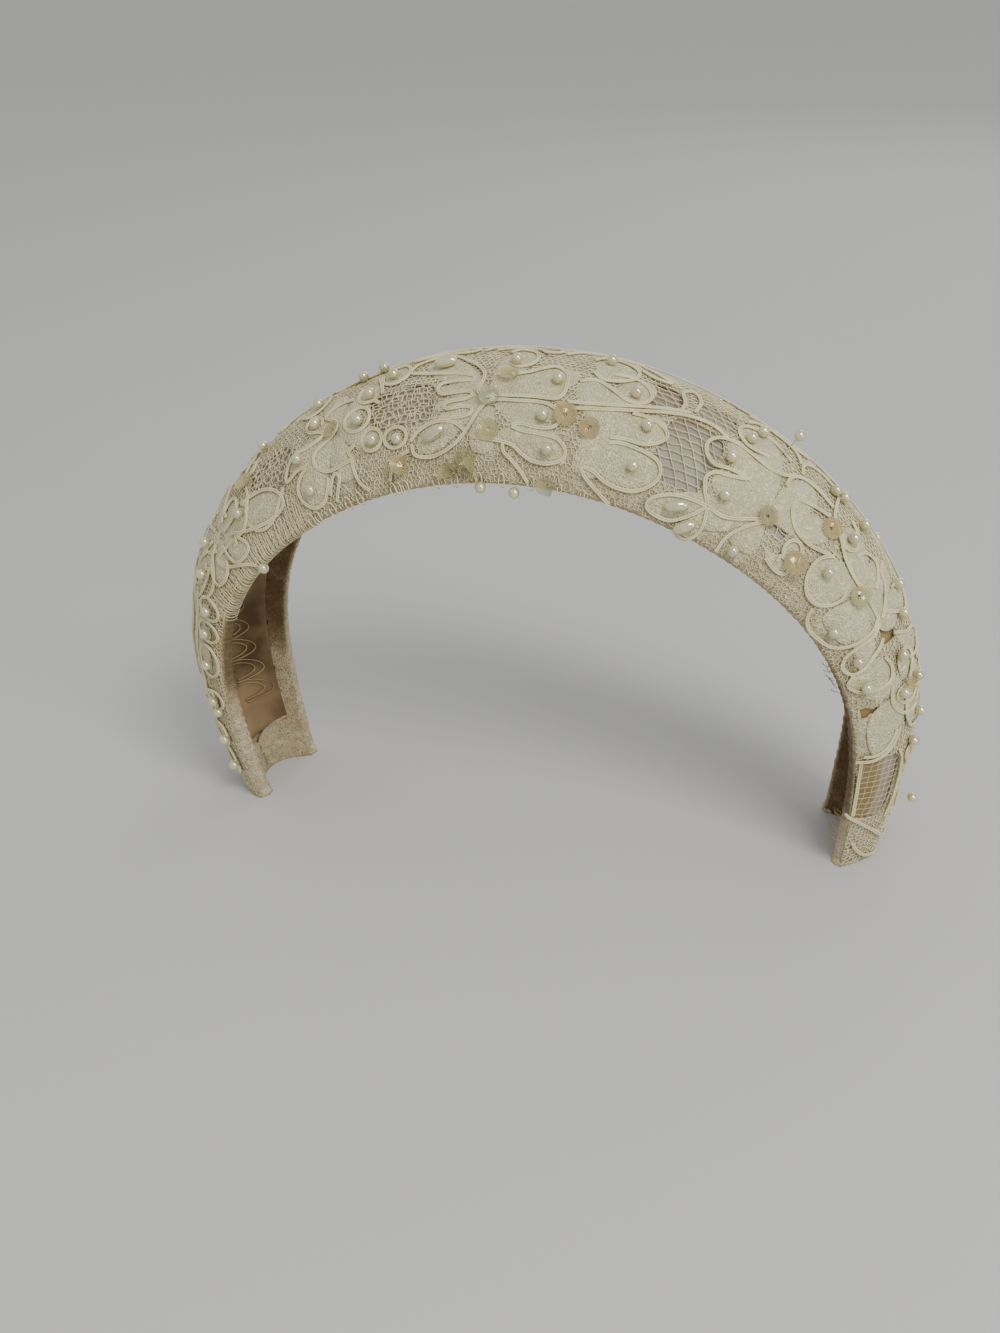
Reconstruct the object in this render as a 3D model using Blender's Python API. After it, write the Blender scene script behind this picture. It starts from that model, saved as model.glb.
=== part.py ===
"""Bridal headband: a wide domed band, covered in satin and dressed in corded lace, pearls and sequins.

The band stands on its two flat ends. +X runs to the wearer's left end, the front edge faces -Y and
+Z points up. Sizes in the tables are millimetres and degrees; meshes are written in metres.

Places on the band are given by three values. "along" is the distance along the crown line from the
middle of the band, "across" is the distance from the crown line towards the rear edge (negative is
towards the front edge), and "lift" is the height above the lace.
"""
import math

import bmesh
import bpy
from mathutils import Vector

SHARP_ANGLE = 40.0
MILLIMETRE = 0.001

# Main form of the band
HALF_LENGTH = 178.0
CENTRE_WIDTH = 67.0
END_WIDTH = 38.0
CENTRE_DOME_RADIUS = 25.0
END_DOME_RADIUS = 15.0
CENTRE_TILT = -4.5
END_TILT = 10.0
END_SWEEP = 10.0
DEPTH_SHIFT = -0.98
SIDE_SHIFT = -0.15

# Bend of the crown line from the middle to one end
BEND_STATIONS = (
    # share of the half length, bend in radians per metre
    (0.00, 10.8),
    (0.33, 9.5),
    (0.66, 15.5),
    (1.00, 0.0),
)
SPINE_STEPS = 720
QUARTER_STEP = 0.25
HALF_STEP = 0.5

# Layers, from the outside inwards
CLOTH_THICKNESS = 1.0
PIECE_GAP = 0.3
BAND_THICKNESS = 2.1
EDGE_BULGE = 1.4
HEM_THICKNESS = 1.0
SECTIONS = 26
ARC_PARTS = 8
TURNED_IN_PARTS = 1
LINING_INSET = 0.4
POCKET_INSET = 0.4
BAND_INSET = 0.7
INNER_BULGE = 0.7

# Lace flowers
FLOWER_LIFT = 0.45
FLOWER_THICKNESS = 0.8
HUB_RADIUS = 3.0
GROOVE_ANGLE = 20.0
PETAL_EDGE_ROOM = 1.0
PETAL_EDGE_EASE = 7.0
RING_REACH = 10.6
LONG_PETAL = 18.0
LONG_PETAL_NECK = (0.40, 0.28)
PETAL_LOBE = (
    # share of the length, share of the width to each side
    (0.70, 0.50),
    (0.97, 0.30),
)
FLOWERS = (
    # name, along, across
    ("crown", -4.0, -15.0),
    ("crown_left", -45.0, -15.0),
    ("crown_right", 21.0, -19.0),
    ("shoulder_left", -91.0, -17.0),
    ("shoulder_right", 67.0, -19.0),
    ("side_left", -124.0, -13.0),
    ("side_right", 97.0, -16.0),
    ("ear_left", -154.0, -9.0),
    ("ear_right", 125.0, -11.0),
    ("rear_left", -62.0, 14.0),
    ("rear_middle", 2.0, 17.0),
    ("rear_right", 62.0, 14.0),
)
PETALS = (
    # flower, turn from the along direction, length, width
    ("crown", -31.0, 25.0, 6.6),
    ("crown", -9.5, 18.0, 4.6),
    ("crown", 26.0, 21.0, 8.0),
    ("crown", 72.0, 17.5, 7.5),
    ("crown", 139.0, 22.5, 8.0),
    ("crown", 165.0, 13.5, 3.2),
    ("crown", -174.0, 13.5, 3.2),
    ("crown", -149.0, 21.0, 7.0),
    ("crown", -95.0, 13.0, 7.0),
    ("crown_left", -30.0, 15.0, 6.0),
    ("crown_left", 3.0, 8.4, 3.6),
    ("crown_left", 38.0, 15.5, 6.4),
    ("crown_left", 93.0, 12.0, 8.0),
    ("crown_left", 142.0, 10.0, 6.0),
    ("crown_left", -169.0, 16.0, 6.0),
    ("crown_left", -135.0, 19.5, 9.0),
    ("crown_left", -85.0, 14.0, 8.0),
    ("crown_right", -22.0, 19.0, 8.4),
    ("crown_right", 20.0, 17.5, 6.6),
    ("crown_right", 61.0, 19.5, 8.0),
    ("crown_right", 102.0, 14.0, 8.0),
    ("crown_right", -76.0, 13.0, 8.0),
    ("shoulder_left", -15.0, 27.0, 8.4),
    ("shoulder_left", 17.0, 11.0, 5.0),
    ("shoulder_left", 75.0, 16.0, 9.0),
    ("shoulder_left", 141.0, 16.0, 8.0),
    ("shoulder_left", 176.0, 22.0, 6.4),
    ("shoulder_left", -140.0, 14.0, 8.0),
    ("shoulder_left", -68.0, 14.0, 8.0),
    ("shoulder_right", -93.0, 12.8, 8.0),
    ("shoulder_right", -134.5, 23.5, 5.0),
    ("shoulder_right", -155.0, 26.5, 7.0),
    ("shoulder_right", 176.5, 15.5, 6.6),
    ("shoulder_right", 145.0, 19.5, 7.0),
    ("shoulder_right", 118.0, 25.0, 7.4),
    ("shoulder_right", 68.0, 15.0, 8.4),
    ("shoulder_right", 25.0, 16.0, 7.4),
    ("side_left", -43.0, 14.6, 6.6),
    ("side_left", -82.0, 13.0, 5.6),
    ("side_left", -131.0, 16.0, 8.0),
    ("side_left", 8.0, 12.0, 8.0),
    ("side_left", 90.0, 15.0, 9.0),
    ("side_left", 165.0, 13.0, 7.0),
    ("side_right", -166.0, 13.0, 8.0),
    ("side_right", -66.0, 13.5, 11.0),
    ("side_right", -19.0, 20.5, 6.4),
    ("side_right", 140.0, 16.5, 8.0),
    ("side_right", 85.0, 14.0, 9.0),
    ("side_right", 30.0, 14.0, 8.0),
    ("ear_left", -54.0, 17.0, 8.0),
    ("ear_left", -111.0, 14.5, 7.0),
    ("ear_left", -148.0, 20.0, 7.0),
    ("ear_left", 60.0, 14.0, 8.0),
    ("ear_left", 140.0, 13.0, 8.0),
    ("ear_right", -111.0, 14.2, 8.0),
    ("ear_right", -37.0, 20.9, 14.6),
    ("ear_right", 26.0, 14.0, 8.0),
    ("ear_right", 95.0, 16.0, 9.0),
    ("ear_right", 171.0, 9.4, 5.6),
    ("rear_left", -10.0, 16.0, 9.0),
    ("rear_left", 60.0, 16.0, 9.0),
    ("rear_left", 122.0, 16.0, 9.0),
    ("rear_left", -170.0, 16.0, 9.0),
    ("rear_middle", 5.0, 18.0, 9.0),
    ("rear_middle", 62.0, 15.0, 9.0),
    ("rear_middle", 118.0, 15.0, 9.0),
    ("rear_middle", 176.0, 18.0, 9.0),
    ("rear_right", -5.0, 16.0, 9.0),
    ("rear_right", 57.0, 16.0, 9.0),
    ("rear_right", 120.0, 16.0, 9.0),
    ("rear_right", -172.0, 16.0, 9.0),
)

# Pearls and sequins
PEARL_RADIUS = 1.3
PEARL_SIDES = 10
PEARL_RINGS = 4
OAT_PEARL_STRETCH = 2.1
SEQUIN_RADIUS = 2.6
SEQUIN_CUP = 0.7
SEQUIN_THICKNESS = 0.4
SEQUIN_SIDES = 10
ROUND_PEARLS = (
    # along, across
    (12.6, -25.4),
    (9.8, -18.6),
    (11.0, -9.4),
    (0.4, -4.6),
    (-33.4, -21.3),
    (-37.0, -15.6),
    (-34.2, -9.4),
    (-49.6, -11.4),
    (-56.0, -18.0),
    (-54.8, -26.0),
    (33.8, -23.9),
    (33.2, -15.0),
    (28.2, -8.2),
    (56.0, -20.7),
    (52.8, -13.0),
    (56.4, -1.6),
    (65.6, -29.0),
    (86.8, -18.9),
    (100.4, -24.9),
    (111.4, -22.8),
    (86.0, -8.8),
    (119.8, -22.4),
    (116.0, -12.0),
    (-80.0, -18.8),
    (-96.6, -14.0),
    (-103.8, -18.2),
    (-113.0, -23.0),
    (-121.0, -22.9),
    (-132.2, -22.4),
    (-145.2, -21.0),
    (-158.6, -19.2),
    (-167.6, -17.8),
    (-55.8, 24.8),
    (7.5, 27.8),
    (55.8, 24.8),
)
OAT_PEARLS = (
    # along, across, turn of the long axis
    (-16.6, -22.8, 27.0),
    (-16.0, -4.6, 8.0),
    (47.6, -27.4, 32.0),
    (51.9, -30.4, 50.0),
)
SEQUINS_ON = ("crown", "crown_left", "crown_right", "shoulder_right", "side_right", "ear_right")

# Open net between the flowers: diamonds in rows, each second row stepped half a pitch along
NET_PITCH = 4.2
NET_ROW_PITCH = 1.9
NET_GAP_ALONG = 3.1
NET_GAP_ACROSS = 2.8
NET_WINDOWS = (
    # along, across, gaps along, rows across
    (-25.5, -12.0, 3, 4),
    (44.5, -15.0, 2, 7),
    (-67.0, -15.5, 3, 4),
    (152.0, -13.0, 4, 4),
    (-30.0, 14.0, 3, 3),
    (32.0, 14.0, 3, 3),
)


def mix(start, end, share):
    """Value between start and end at the given share of the way."""
    return start + (end - start) * share


def bend_at(share):
    """Bend of the crown line, in radians per metre, at a share of the half length."""
    for (share_a, bend_a), (share_b, bend_b) in zip(BEND_STATIONS, BEND_STATIONS[1:]):
        if share <= share_b:
            return mix(bend_a, bend_b, (share - share_a) / (share_b - share_a))
    return BEND_STATIONS[-1][1]


def trace_spine():
    """Crown line of one half as rows of sideways place, drop and downward angle, one per step."""
    step = HALF_LENGTH / SPINE_STEPS
    sideways = 0.0
    drop = 0.0
    angle = 0.0
    rows = [(sideways, drop, angle)]
    for index in range(SPINE_STEPS):
        middle_angle = angle + bend_at((index + QUARTER_STEP) / SPINE_STEPS) * MILLIMETRE * step / 2.0
        sideways += math.cos(middle_angle) * step
        drop += math.sin(middle_angle) * step
        angle += bend_at((index + HALF_STEP) / SPINE_STEPS) * MILLIMETRE * step
        rows.append((sideways, drop, angle))
    return rows


SPINE = trace_spine()
CROWN_HEIGHT = SPINE[-1][1]
END_ANGLE = SPINE[-1][2]


def spine_at(distance):
    """Sideways place, drop and downward angle of the crown line at a distance from the middle."""
    place = distance / HALF_LENGTH * SPINE_STEPS
    index = min(int(place), SPINE_STEPS - 1)
    share = place - index
    return tuple(mix(a, b, share) for a, b in zip(SPINE[index], SPINE[index + 1]))


def half_width_at(along):
    """Half of the band's width across the dome."""
    share = min(abs(along) / HALF_LENGTH, 1.0)
    return mix(CENTRE_WIDTH, END_WIDTH, share ** 2) / 2.0


def band_point(along, across, lift):
    """Place in millimetres of a point on, above or below the lace."""
    distance = abs(along)
    share = distance / HALF_LENGTH
    side = 1.0 if along >= 0.0 else -1.0
    sideways, drop, angle = spine_at(distance)
    radius = mix(CENTRE_DOME_RADIUS, END_DOME_RADIUS, share ** 2)
    tilt = math.radians(mix(CENTRE_TILT, END_TILT, share ** 2))
    turn = across / radius + tilt
    back = (radius + lift) * math.sin(turn) - radius * math.sin(tilt)
    out = (radius + lift) * math.cos(turn) - radius * math.cos(tilt)
    x = side * (sideways + out * math.sin(angle)) + SIDE_SHIFT
    y = END_SWEEP * share ** 2 + back + DEPTH_SHIFT
    z = CROWN_HEIGHT - drop + out * math.cos(angle)
    return Vector((x, y, z))


def foot_point(side, across, lift, height):
    """Point where a line of the band runs out at a given height above the floor."""
    start = band_point(side * HALF_LENGTH, across, lift)
    run = Vector((side * math.cos(END_ANGLE), 0.0, -math.sin(END_ANGLE)))
    return start + run * ((height - start.z) / run.z)


def surface_frame(along, across):
    """Directions along the band, across it and outwards at a place on the lace."""
    step = 0.5
    run = (band_point(along + step, across, 0.0) - band_point(along - step, across, 0.0)).normalized()
    out = (band_point(along, across, 1.0) - band_point(along, across, 0.0)).normalized()
    back = out.cross(run).normalized()
    return run, back, out


def make_material(name, colour, roughness, metallic=0.0):
    """Plain finish of one sub-part."""
    material = bpy.data.materials.new(name)
    material.use_nodes = True
    shader = material.node_tree.nodes["Principled BSDF"]
    shader.inputs["Base Color"].default_value = (*colour, 1.0)
    shader.inputs["Roughness"].default_value = roughness
    shader.inputs["Metallic"].default_value = metallic
    material.diffuse_color = (*colour, 1.0)
    return material


def add_object(name, points, faces, material, smooth=True):
    """Object from points in millimetres and faces, with its faces turned outwards."""
    mesh = bpy.data.meshes.new(name)
    mesh.from_pydata([point * MILLIMETRE for point in points], [], faces)
    sculpt = bmesh.new()
    sculpt.from_mesh(mesh)
    bmesh.ops.recalc_face_normals(sculpt, faces=sculpt.faces)
    bmesh.ops.triangulate(sculpt, faces=sculpt.faces)
    sculpt.to_mesh(mesh)
    sculpt.free()
    mesh.materials.append(material)
    if smooth:
        mesh.shade_smooth()
        mesh.set_sharp_from_angle(angle=math.radians(SHARP_ANGLE))
    item = bpy.data.objects.new(name, mesh)
    bpy.context.collection.objects.link(item)
    return item


def arc_shares(inset):
    """Shares of the half width across an arc, the outermost pair pulled in by an inset."""
    shares = [2.0 * index / ARC_PARTS - 1.0 for index in range(ARC_PARTS + 1)]
    return [(share, inset if abs(share) == 1.0 else 0.0) for share in shares]


def section_outline(half_width, outer_lift, inner_lift, inset, bulge):
    """Closed outline of one layer as rows of across and lift, outer arc first."""
    middle_lift = (outer_lift + inner_lift) / 2.0
    outer = []
    for share, pull in arc_shares(inset):
        outer.append((share * half_width - math.copysign(pull, share), outer_lift))
    inner = [(across, inner_lift) for across, _ in reversed(outer)]
    rear_edge = [(half_width - inset + bulge, middle_lift)]
    front_edge = [(-half_width + inset - bulge, middle_lift)]
    return outer + rear_edge + inner + front_edge


def swept_rings(layer, end_height):
    """Rings of points of a layer from the left foot to the right foot."""
    rings = []
    for index in range(SECTIONS + 1):
        along = mix(-HALF_LENGTH, HALF_LENGTH, index / SECTIONS)
        outline = section_outline(half_width_at(along), *layer)
        if index in (0, SECTIONS):
            side = math.copysign(1.0, along)
            rings.append([foot_point(side, across, lift, end_height) for across, lift in outline])
        else:
            rings.append([band_point(along, across, lift) for across, lift in outline])
    return rings


def ring_faces(offset, is_open):
    """Side faces and end caps of a stack of rings, leaving out the cells that is_open names."""
    count = 2 * ARC_PARTS + 4
    faces = []
    for ring in range(SECTIONS):
        for cell in range(count):
            if is_open(ring, cell):
                continue
            following = (cell + 1) % count
            low = offset + ring * count
            high = low + count
            faces.append((low + cell, low + following, high + following, high + cell))
    for ring in (0, SECTIONS):
        base = offset + ring * count
        for cell in range(ARC_PARTS):
            opposite = 2 * ARC_PARTS + 1 - cell
            faces.append((base + cell, base + cell + 1, base + opposite, base + opposite + 1))
        faces.append((base + ARC_PARTS, base + ARC_PARTS + 1, base + ARC_PARTS + 2))
        faces.append((base, base + 2 * ARC_PARTS + 2, base + count - 1))
    return faces


def solid_cell(ring, cell):
    """A layer without an opening."""
    return False


def mouth_cell(ring, cell):
    """Cells of the inner side that stay open between the turned-in edges."""
    first = ARC_PARTS + 2 + TURNED_IN_PARTS
    last = 2 * ARC_PARTS + 1 - TURNED_IN_PARTS
    return 1 <= ring < SECTIONS - 1 and first <= cell <= last


def mouth_rim(count):
    """Edges round the open mouth as pairs of point numbers in one stack of rings."""
    first = ARC_PARTS + 2 + TURNED_IN_PARTS
    last = 2 * ARC_PARTS + 2 - TURNED_IN_PARTS
    edges = []
    for cell in range(first, last):
        edges.append((1 * count + cell, 1 * count + cell + 1))
        edges.append(((SECTIONS - 1) * count + cell, (SECTIONS - 1) * count + cell + 1))
    for ring in range(1, SECTIONS - 1):
        edges.append((ring * count + first, (ring + 1) * count + first))
        edges.append((ring * count + last, (ring + 1) * count + last))
    return edges


def add_lace_cover(material):
    """Lace drawn over the band, turned in along both edges and hemmed over both ends."""
    band_base = CLOTH_THICKNESS + PIECE_GAP + BAND_THICKNESS + PIECE_GAP
    outside = (0.0, -band_base - CLOTH_THICKNESS, 0.0, EDGE_BULGE)
    pocket = (-CLOTH_THICKNESS, -band_base, POCKET_INSET, INNER_BULGE)
    outer_rings = swept_rings(outside, 0.0)
    inner_rings = swept_rings(pocket, HEM_THICKNESS)
    count = len(outer_rings[0])
    points = [point for ring in outer_rings + inner_rings for point in ring]
    offset = (SECTIONS + 1) * count
    faces = ring_faces(0, mouth_cell)
    faces += [tuple(reversed(face)) for face in ring_faces(offset, mouth_cell)]
    faces += [(a, b, b + offset, a + offset) for a, b in mouth_rim(count)]
    return add_object("lace_cover", points, faces, material)


def add_satin_band(material):
    """Stiffened band in its satin cover, inside the lace."""
    outer_lift = -CLOTH_THICKNESS - PIECE_GAP
    layer = (outer_lift, outer_lift - BAND_THICKNESS, BAND_INSET, INNER_BULGE)
    rings = swept_rings(layer, HEM_THICKNESS + PIECE_GAP)
    points = [point for ring in rings for point in ring]
    return add_object("satin_band", points, ring_faces(0, solid_cell), material)


def add_lining(material):
    """Lining on the inner side, between the turned-in edges of the lace."""
    outer_lift = -CLOTH_THICKNESS - 2.0 * PIECE_GAP - BAND_THICKNESS
    inner_lift = outer_lift - CLOTH_THICKNESS
    columns = ARC_PARTS - 2 * TURNED_IN_PARTS
    reach = columns / ARC_PARTS
    points = []
    for index in range(1, SECTIONS):
        along = mix(-HALF_LENGTH, HALF_LENGTH, index / SECTIONS)
        if index in (1, SECTIONS - 1):
            along -= math.copysign(LINING_INSET, along)
        for lift in (outer_lift, inner_lift):
            for column in range(columns + 1):
                across = mix(-reach, reach, column / columns) * half_width_at(along)
                if column in (0, columns):
                    across -= math.copysign(LINING_INSET, across)
                points.append(band_point(along, across, lift))
    count = 2 * (columns + 1)
    faces = []
    for ring in range(SECTIONS - 2):
        low = ring * count
        high = low + count
        for column in range(columns):
            under = column + columns + 1
            faces.append((low + column, low + column + 1, high + column + 1, high + column))
            faces.append((low + under, high + under, high + under + 1, low + under + 1))
        for column in (0, columns):
            under = column + columns + 1
            faces.append((low + column, high + column, high + under, low + under))
    for ring in (0, SECTIONS - 2):
        base = ring * count
        for column in range(columns):
            under = column + columns + 1
            faces.append((base + column, base + column + 1, base + under + 1, base + under))
    return add_object("lining", points, faces, material)


def petal_spread(length, width):
    """Half of the angle that a petal fills about its hub, in radians."""
    length_share, width_share = PETAL_LOBE[0]
    return math.atan2(width_share * width, length_share * length)


def flower_outline(petals):
    """Outline of a flower about its hub as rows of turn in radians and radius."""
    ordered = sorted((math.radians(turn), length, width) for turn, length, width in petals)
    rows = []
    for index, (turn, length, width) in enumerate(ordered):
        spread = petal_spread(length, width)
        shape = (LONG_PETAL_NECK,) + PETAL_LOBE if length > LONG_PETAL else PETAL_LOBE
        lobe = [(d * length, -w * width) for d, w in shape]
        lobe += [(distance, -sideways) for distance, sideways in reversed(lobe)]
        for distance, sideways in lobe:
            rows.append((turn + math.atan2(sideways, distance), math.hypot(distance, sideways)))
        next_turn, next_length, next_width = ordered[(index + 1) % len(ordered)]
        if index == len(ordered) - 1:
            next_turn += 2.0 * math.pi
        groove_start = turn + spread
        groove_end = next_turn - petal_spread(next_length, next_width)
        if groove_end - groove_start < math.radians(GROOVE_ANGLE):
            rows.append(((groove_start + groove_end) / 2.0, HUB_RADIUS))
        else:
            rows += [(groove_start, HUB_RADIUS), (groove_end, HUB_RADIUS)]
    return rows


def keep_on_band(along, across):
    """Across value eased in, so that it stays clear of the band's edges."""
    free = half_width_at(along) - PETAL_EDGE_ROOM - PETAL_EDGE_EASE
    past = abs(across) - free
    if past <= 0.0:
        return across
    return math.copysign(free + PETAL_EDGE_EASE * (1.0 - math.exp(-past / PETAL_EDGE_EASE)), across)


def add_flower(name, along, across, petals, material):
    """Raised lace flower that follows the dome."""
    outline = flower_outline(petals)
    count = len(outline)
    rings = math.ceil(max(length for turn, length, width in petals) / RING_REACH)
    points = []
    for lift in (FLOWER_LIFT, FLOWER_LIFT + FLOWER_THICKNESS):
        points.append(band_point(along, across, lift))
        for ring in range(1, rings + 1):
            for turn, radius in outline:
                reach = radius * ring / rings
                place_along = along + reach * math.cos(turn)
                place_across = keep_on_band(place_along, across + reach * math.sin(turn))
                points.append(band_point(place_along, place_across, lift))
    level = 1 + rings * count
    faces = []
    for index in range(count):
        following = (index + 1) % count
        for base in (0, level):
            faces.append((base, base + 1 + index, base + 1 + following))
            for ring in range(rings - 1):
                inner = base + 1 + ring * count
                outer = inner + count
                faces.append((inner + index, outer + index, outer + following, inner + following))
        edge = 1 + (rings - 1) * count
        faces.append((edge + index, edge + following, edge + following + level, edge + index + level))
    return add_object("flower_" + name, points, faces, material)


def ball_shape(stretch):
    """Points and faces of a bead about its centre, drawn out along its first axis."""
    points = [Vector((-PEARL_RADIUS * stretch, 0.0, 0.0))]
    for ring in range(1, PEARL_RINGS):
        polar = math.pi * ring / PEARL_RINGS
        for side in range(PEARL_SIDES):
            turn = 2.0 * math.pi * side / PEARL_SIDES
            points.append(PEARL_RADIUS * Vector((
                -stretch * math.cos(polar),
                math.sin(polar) * math.cos(turn),
                math.sin(polar) * math.sin(turn),
            )))
    points.append(Vector((PEARL_RADIUS * stretch, 0.0, 0.0)))
    last = len(points) - 1
    faces = []
    for side in range(PEARL_SIDES):
        following = (side + 1) % PEARL_SIDES
        faces.append((0, 1 + following, 1 + side))
        for ring in range(PEARL_RINGS - 2):
            low = 1 + ring * PEARL_SIDES
            high = low + PEARL_SIDES
            faces.append((low + side, low + following, high + following, high + side))
        top = 1 + (PEARL_RINGS - 2) * PEARL_SIDES
        faces.append((last, top + side, top + following))
    return points, faces


def add_bead(name, along, across, turn, stretch, material):
    """Pearl sewn on a petal, its long axis turned from the along direction."""
    run, back, out = surface_frame(along, across)
    heading = math.radians(turn)
    axis = run * math.cos(heading) + back * math.sin(heading)
    sideways = out.cross(axis).normalized()
    seat = FLOWER_LIFT + FLOWER_THICKNESS + PIECE_GAP + PEARL_RADIUS
    centre = band_point(along, across, seat)
    shape, faces = ball_shape(stretch)
    points = [centre + axis * p.x + sideways * p.y + out * p.z for p in shape]
    return add_object(name, points, faces, material)


def add_sequin(name, along, across, material):
    """Cupped sequin over a flower's hub."""
    run, back, out = surface_frame(along, across)
    seat = FLOWER_LIFT + FLOWER_THICKNESS + PIECE_GAP
    centre = band_point(along, across, seat)
    points = []
    for height in (0.0, SEQUIN_THICKNESS):
        points.append(centre + out * height)
        for side in range(SEQUIN_SIDES):
            turn = 2.0 * math.pi * side / SEQUIN_SIDES
            spoke = run * math.cos(turn) + back * math.sin(turn)
            points.append(centre + spoke * SEQUIN_RADIUS + out * (height + SEQUIN_CUP))
    level = SEQUIN_SIDES + 1
    faces = []
    for side in range(SEQUIN_SIDES):
        following = (side + 1) % SEQUIN_SIDES
        for base in (0, level):
            faces.append((base, base + 1 + side, base + 1 + following))
        faces.append((1 + side, 1 + following, level + 1 + following, level + 1 + side))
    return add_object(name, points, faces, material, smooth=False)


def diamond_points(along, across, lift):
    """Corners of one net gap at a height above the lace."""
    reach_along = NET_GAP_ALONG / 2.0
    reach_across = NET_GAP_ACROSS / 2.0
    corners = ((reach_along, 0.0), (0.0, reach_across), (-reach_along, 0.0), (0.0, -reach_across))
    return [band_point(along + a, across + b, lift) for a, b in corners]


def net_gaps():
    """Middle of every net gap."""
    for along, across, gaps_along, rows in NET_WINDOWS:
        for row in range(rows):
            gaps = gaps_along - row % 2
            place_across = across + (row - (rows - 1) / 2.0) * NET_ROW_PITCH
            for gap in range(gaps):
                yield along + (gap - (gaps - 1) / 2.0) * NET_PITCH, place_across


def cut_net(lace_cover):
    """Open net: diamond gaps through the lace alone, clear of the satin below."""
    points = []
    faces = []
    for along, across in net_gaps():
        base = len(points)
        points += diamond_points(along, across, -CLOTH_THICKNESS - PIECE_GAP / 2.0)
        points += diamond_points(along, across, 1.0)
        faces += [(base + 3, base + 2, base + 1, base), (base + 4, base + 5, base + 6, base + 7)]
        for corner in range(4):
            following = (corner + 1) % 4
            faces.append((base + corner, base + following, base + 4 + following, base + 4 + corner))
    cutter = add_object("net_cutter", points, faces, lace_cover.data.materials[0], smooth=False)
    cutter.hide_render = True
    cutter.display_type = "WIRE"
    cut = lace_cover.modifiers.new("net", "BOOLEAN")
    cut.operation = "DIFFERENCE"
    cut.object = cutter


def petal_rows(flower):
    """Turn, length and width of each petal of one flower."""
    return [(turn, length, width) for owner, turn, length, width in PETALS if owner == flower]


def add_trimming(lace_finish, pearl_finish, sequin_finish):
    """All flowers, the sequins on their hubs and the pearls on their petals."""
    for flower, along, across in FLOWERS:
        add_flower(flower, along, across, petal_rows(flower), lace_finish)
        if flower in SEQUINS_ON:
            add_sequin("sequin_" + flower, along, across, sequin_finish)
    for index, (along, across) in enumerate(ROUND_PEARLS):
        add_bead("pearl_%02d" % (index + 1), along, across, 0.0, 1.0, pearl_finish)
    for index, (along, across, turn) in enumerate(OAT_PEARLS):
        add_bead("oat_pearl_%d" % (index + 1), along, across, turn, OAT_PEARL_STRETCH, pearl_finish)


def clear_scene():
    """Remove whatever the scene holds."""
    for item in list(bpy.data.objects):
        bpy.data.objects.remove(item, do_unlink=True)


def main():
    """Build the headband."""
    clear_scene()
    lace_finish = make_material("ivory lace", (0.58, 0.54, 0.43), 0.85)
    satin_finish = make_material("aged satin", (0.40, 0.31, 0.19), 0.45)
    lining_finish = make_material("brown lining", (0.24, 0.13, 0.06), 0.8)
    pearl_finish = make_material("pearl", (0.82, 0.78, 0.66), 0.2)
    sequin_finish = make_material("sequin", (0.70, 0.66, 0.42), 0.15)
    cut_net(add_lace_cover(lace_finish))
    add_satin_band(satin_finish)
    add_lining(lining_finish)
    add_trimming(lace_finish, pearl_finish, sequin_finish)


main()
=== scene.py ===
"""Bridal headband: satin band under net and corded lace, with pearls and sequins.

Places on the band are given in millimetres. "along" runs along the crown line from the middle, "sweep"
runs across the dome and on round its edges to the inner side, and "height" stands off the lace.
Meshes are laid out flat in these three values and are then wrapped onto the band, in metres.
"""
from __future__ import annotations

import logging
import math
from dataclasses import dataclass, field
from enum import Enum
from typing import Callable, Iterable, Sequence

import bmesh
import bpy
import numpy as np
from mathutils import Matrix, Vector

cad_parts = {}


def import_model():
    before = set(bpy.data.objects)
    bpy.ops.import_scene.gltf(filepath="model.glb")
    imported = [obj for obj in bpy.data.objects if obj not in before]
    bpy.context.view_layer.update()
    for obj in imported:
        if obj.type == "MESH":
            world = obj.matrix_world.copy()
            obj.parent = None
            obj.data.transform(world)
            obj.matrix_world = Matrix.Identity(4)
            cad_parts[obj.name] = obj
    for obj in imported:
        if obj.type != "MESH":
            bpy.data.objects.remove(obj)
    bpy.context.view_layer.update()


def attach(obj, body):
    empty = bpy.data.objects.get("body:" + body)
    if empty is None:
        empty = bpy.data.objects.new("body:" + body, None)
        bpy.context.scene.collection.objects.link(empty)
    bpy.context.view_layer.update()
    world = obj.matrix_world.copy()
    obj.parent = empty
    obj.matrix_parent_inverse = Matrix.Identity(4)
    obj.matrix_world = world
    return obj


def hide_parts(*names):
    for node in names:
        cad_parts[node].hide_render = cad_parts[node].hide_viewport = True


LOG = logging.getLogger("headband")
MILLIMETRE = 0.001
LACE = "ivory_lace"
LAYOUT_SCALE = 0.01
Row = tuple[float, ...]
Quad = tuple[int, int, int, int]
Flat = tuple[np.ndarray, np.ndarray]
Socket = bpy.types.NodeSocket
Node = bpy.types.Node
Tree = bpy.types.NodeTree
Mesh = bpy.types.Mesh
PATCH_EDGE = 0.12
HEM_TOP = 0.0012
Test = Callable[[np.ndarray, np.ndarray], np.ndarray]


class Side(Enum):
    """The two long edges of the band."""

    FRONT = -1.0
    REAR = 1.0


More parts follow.
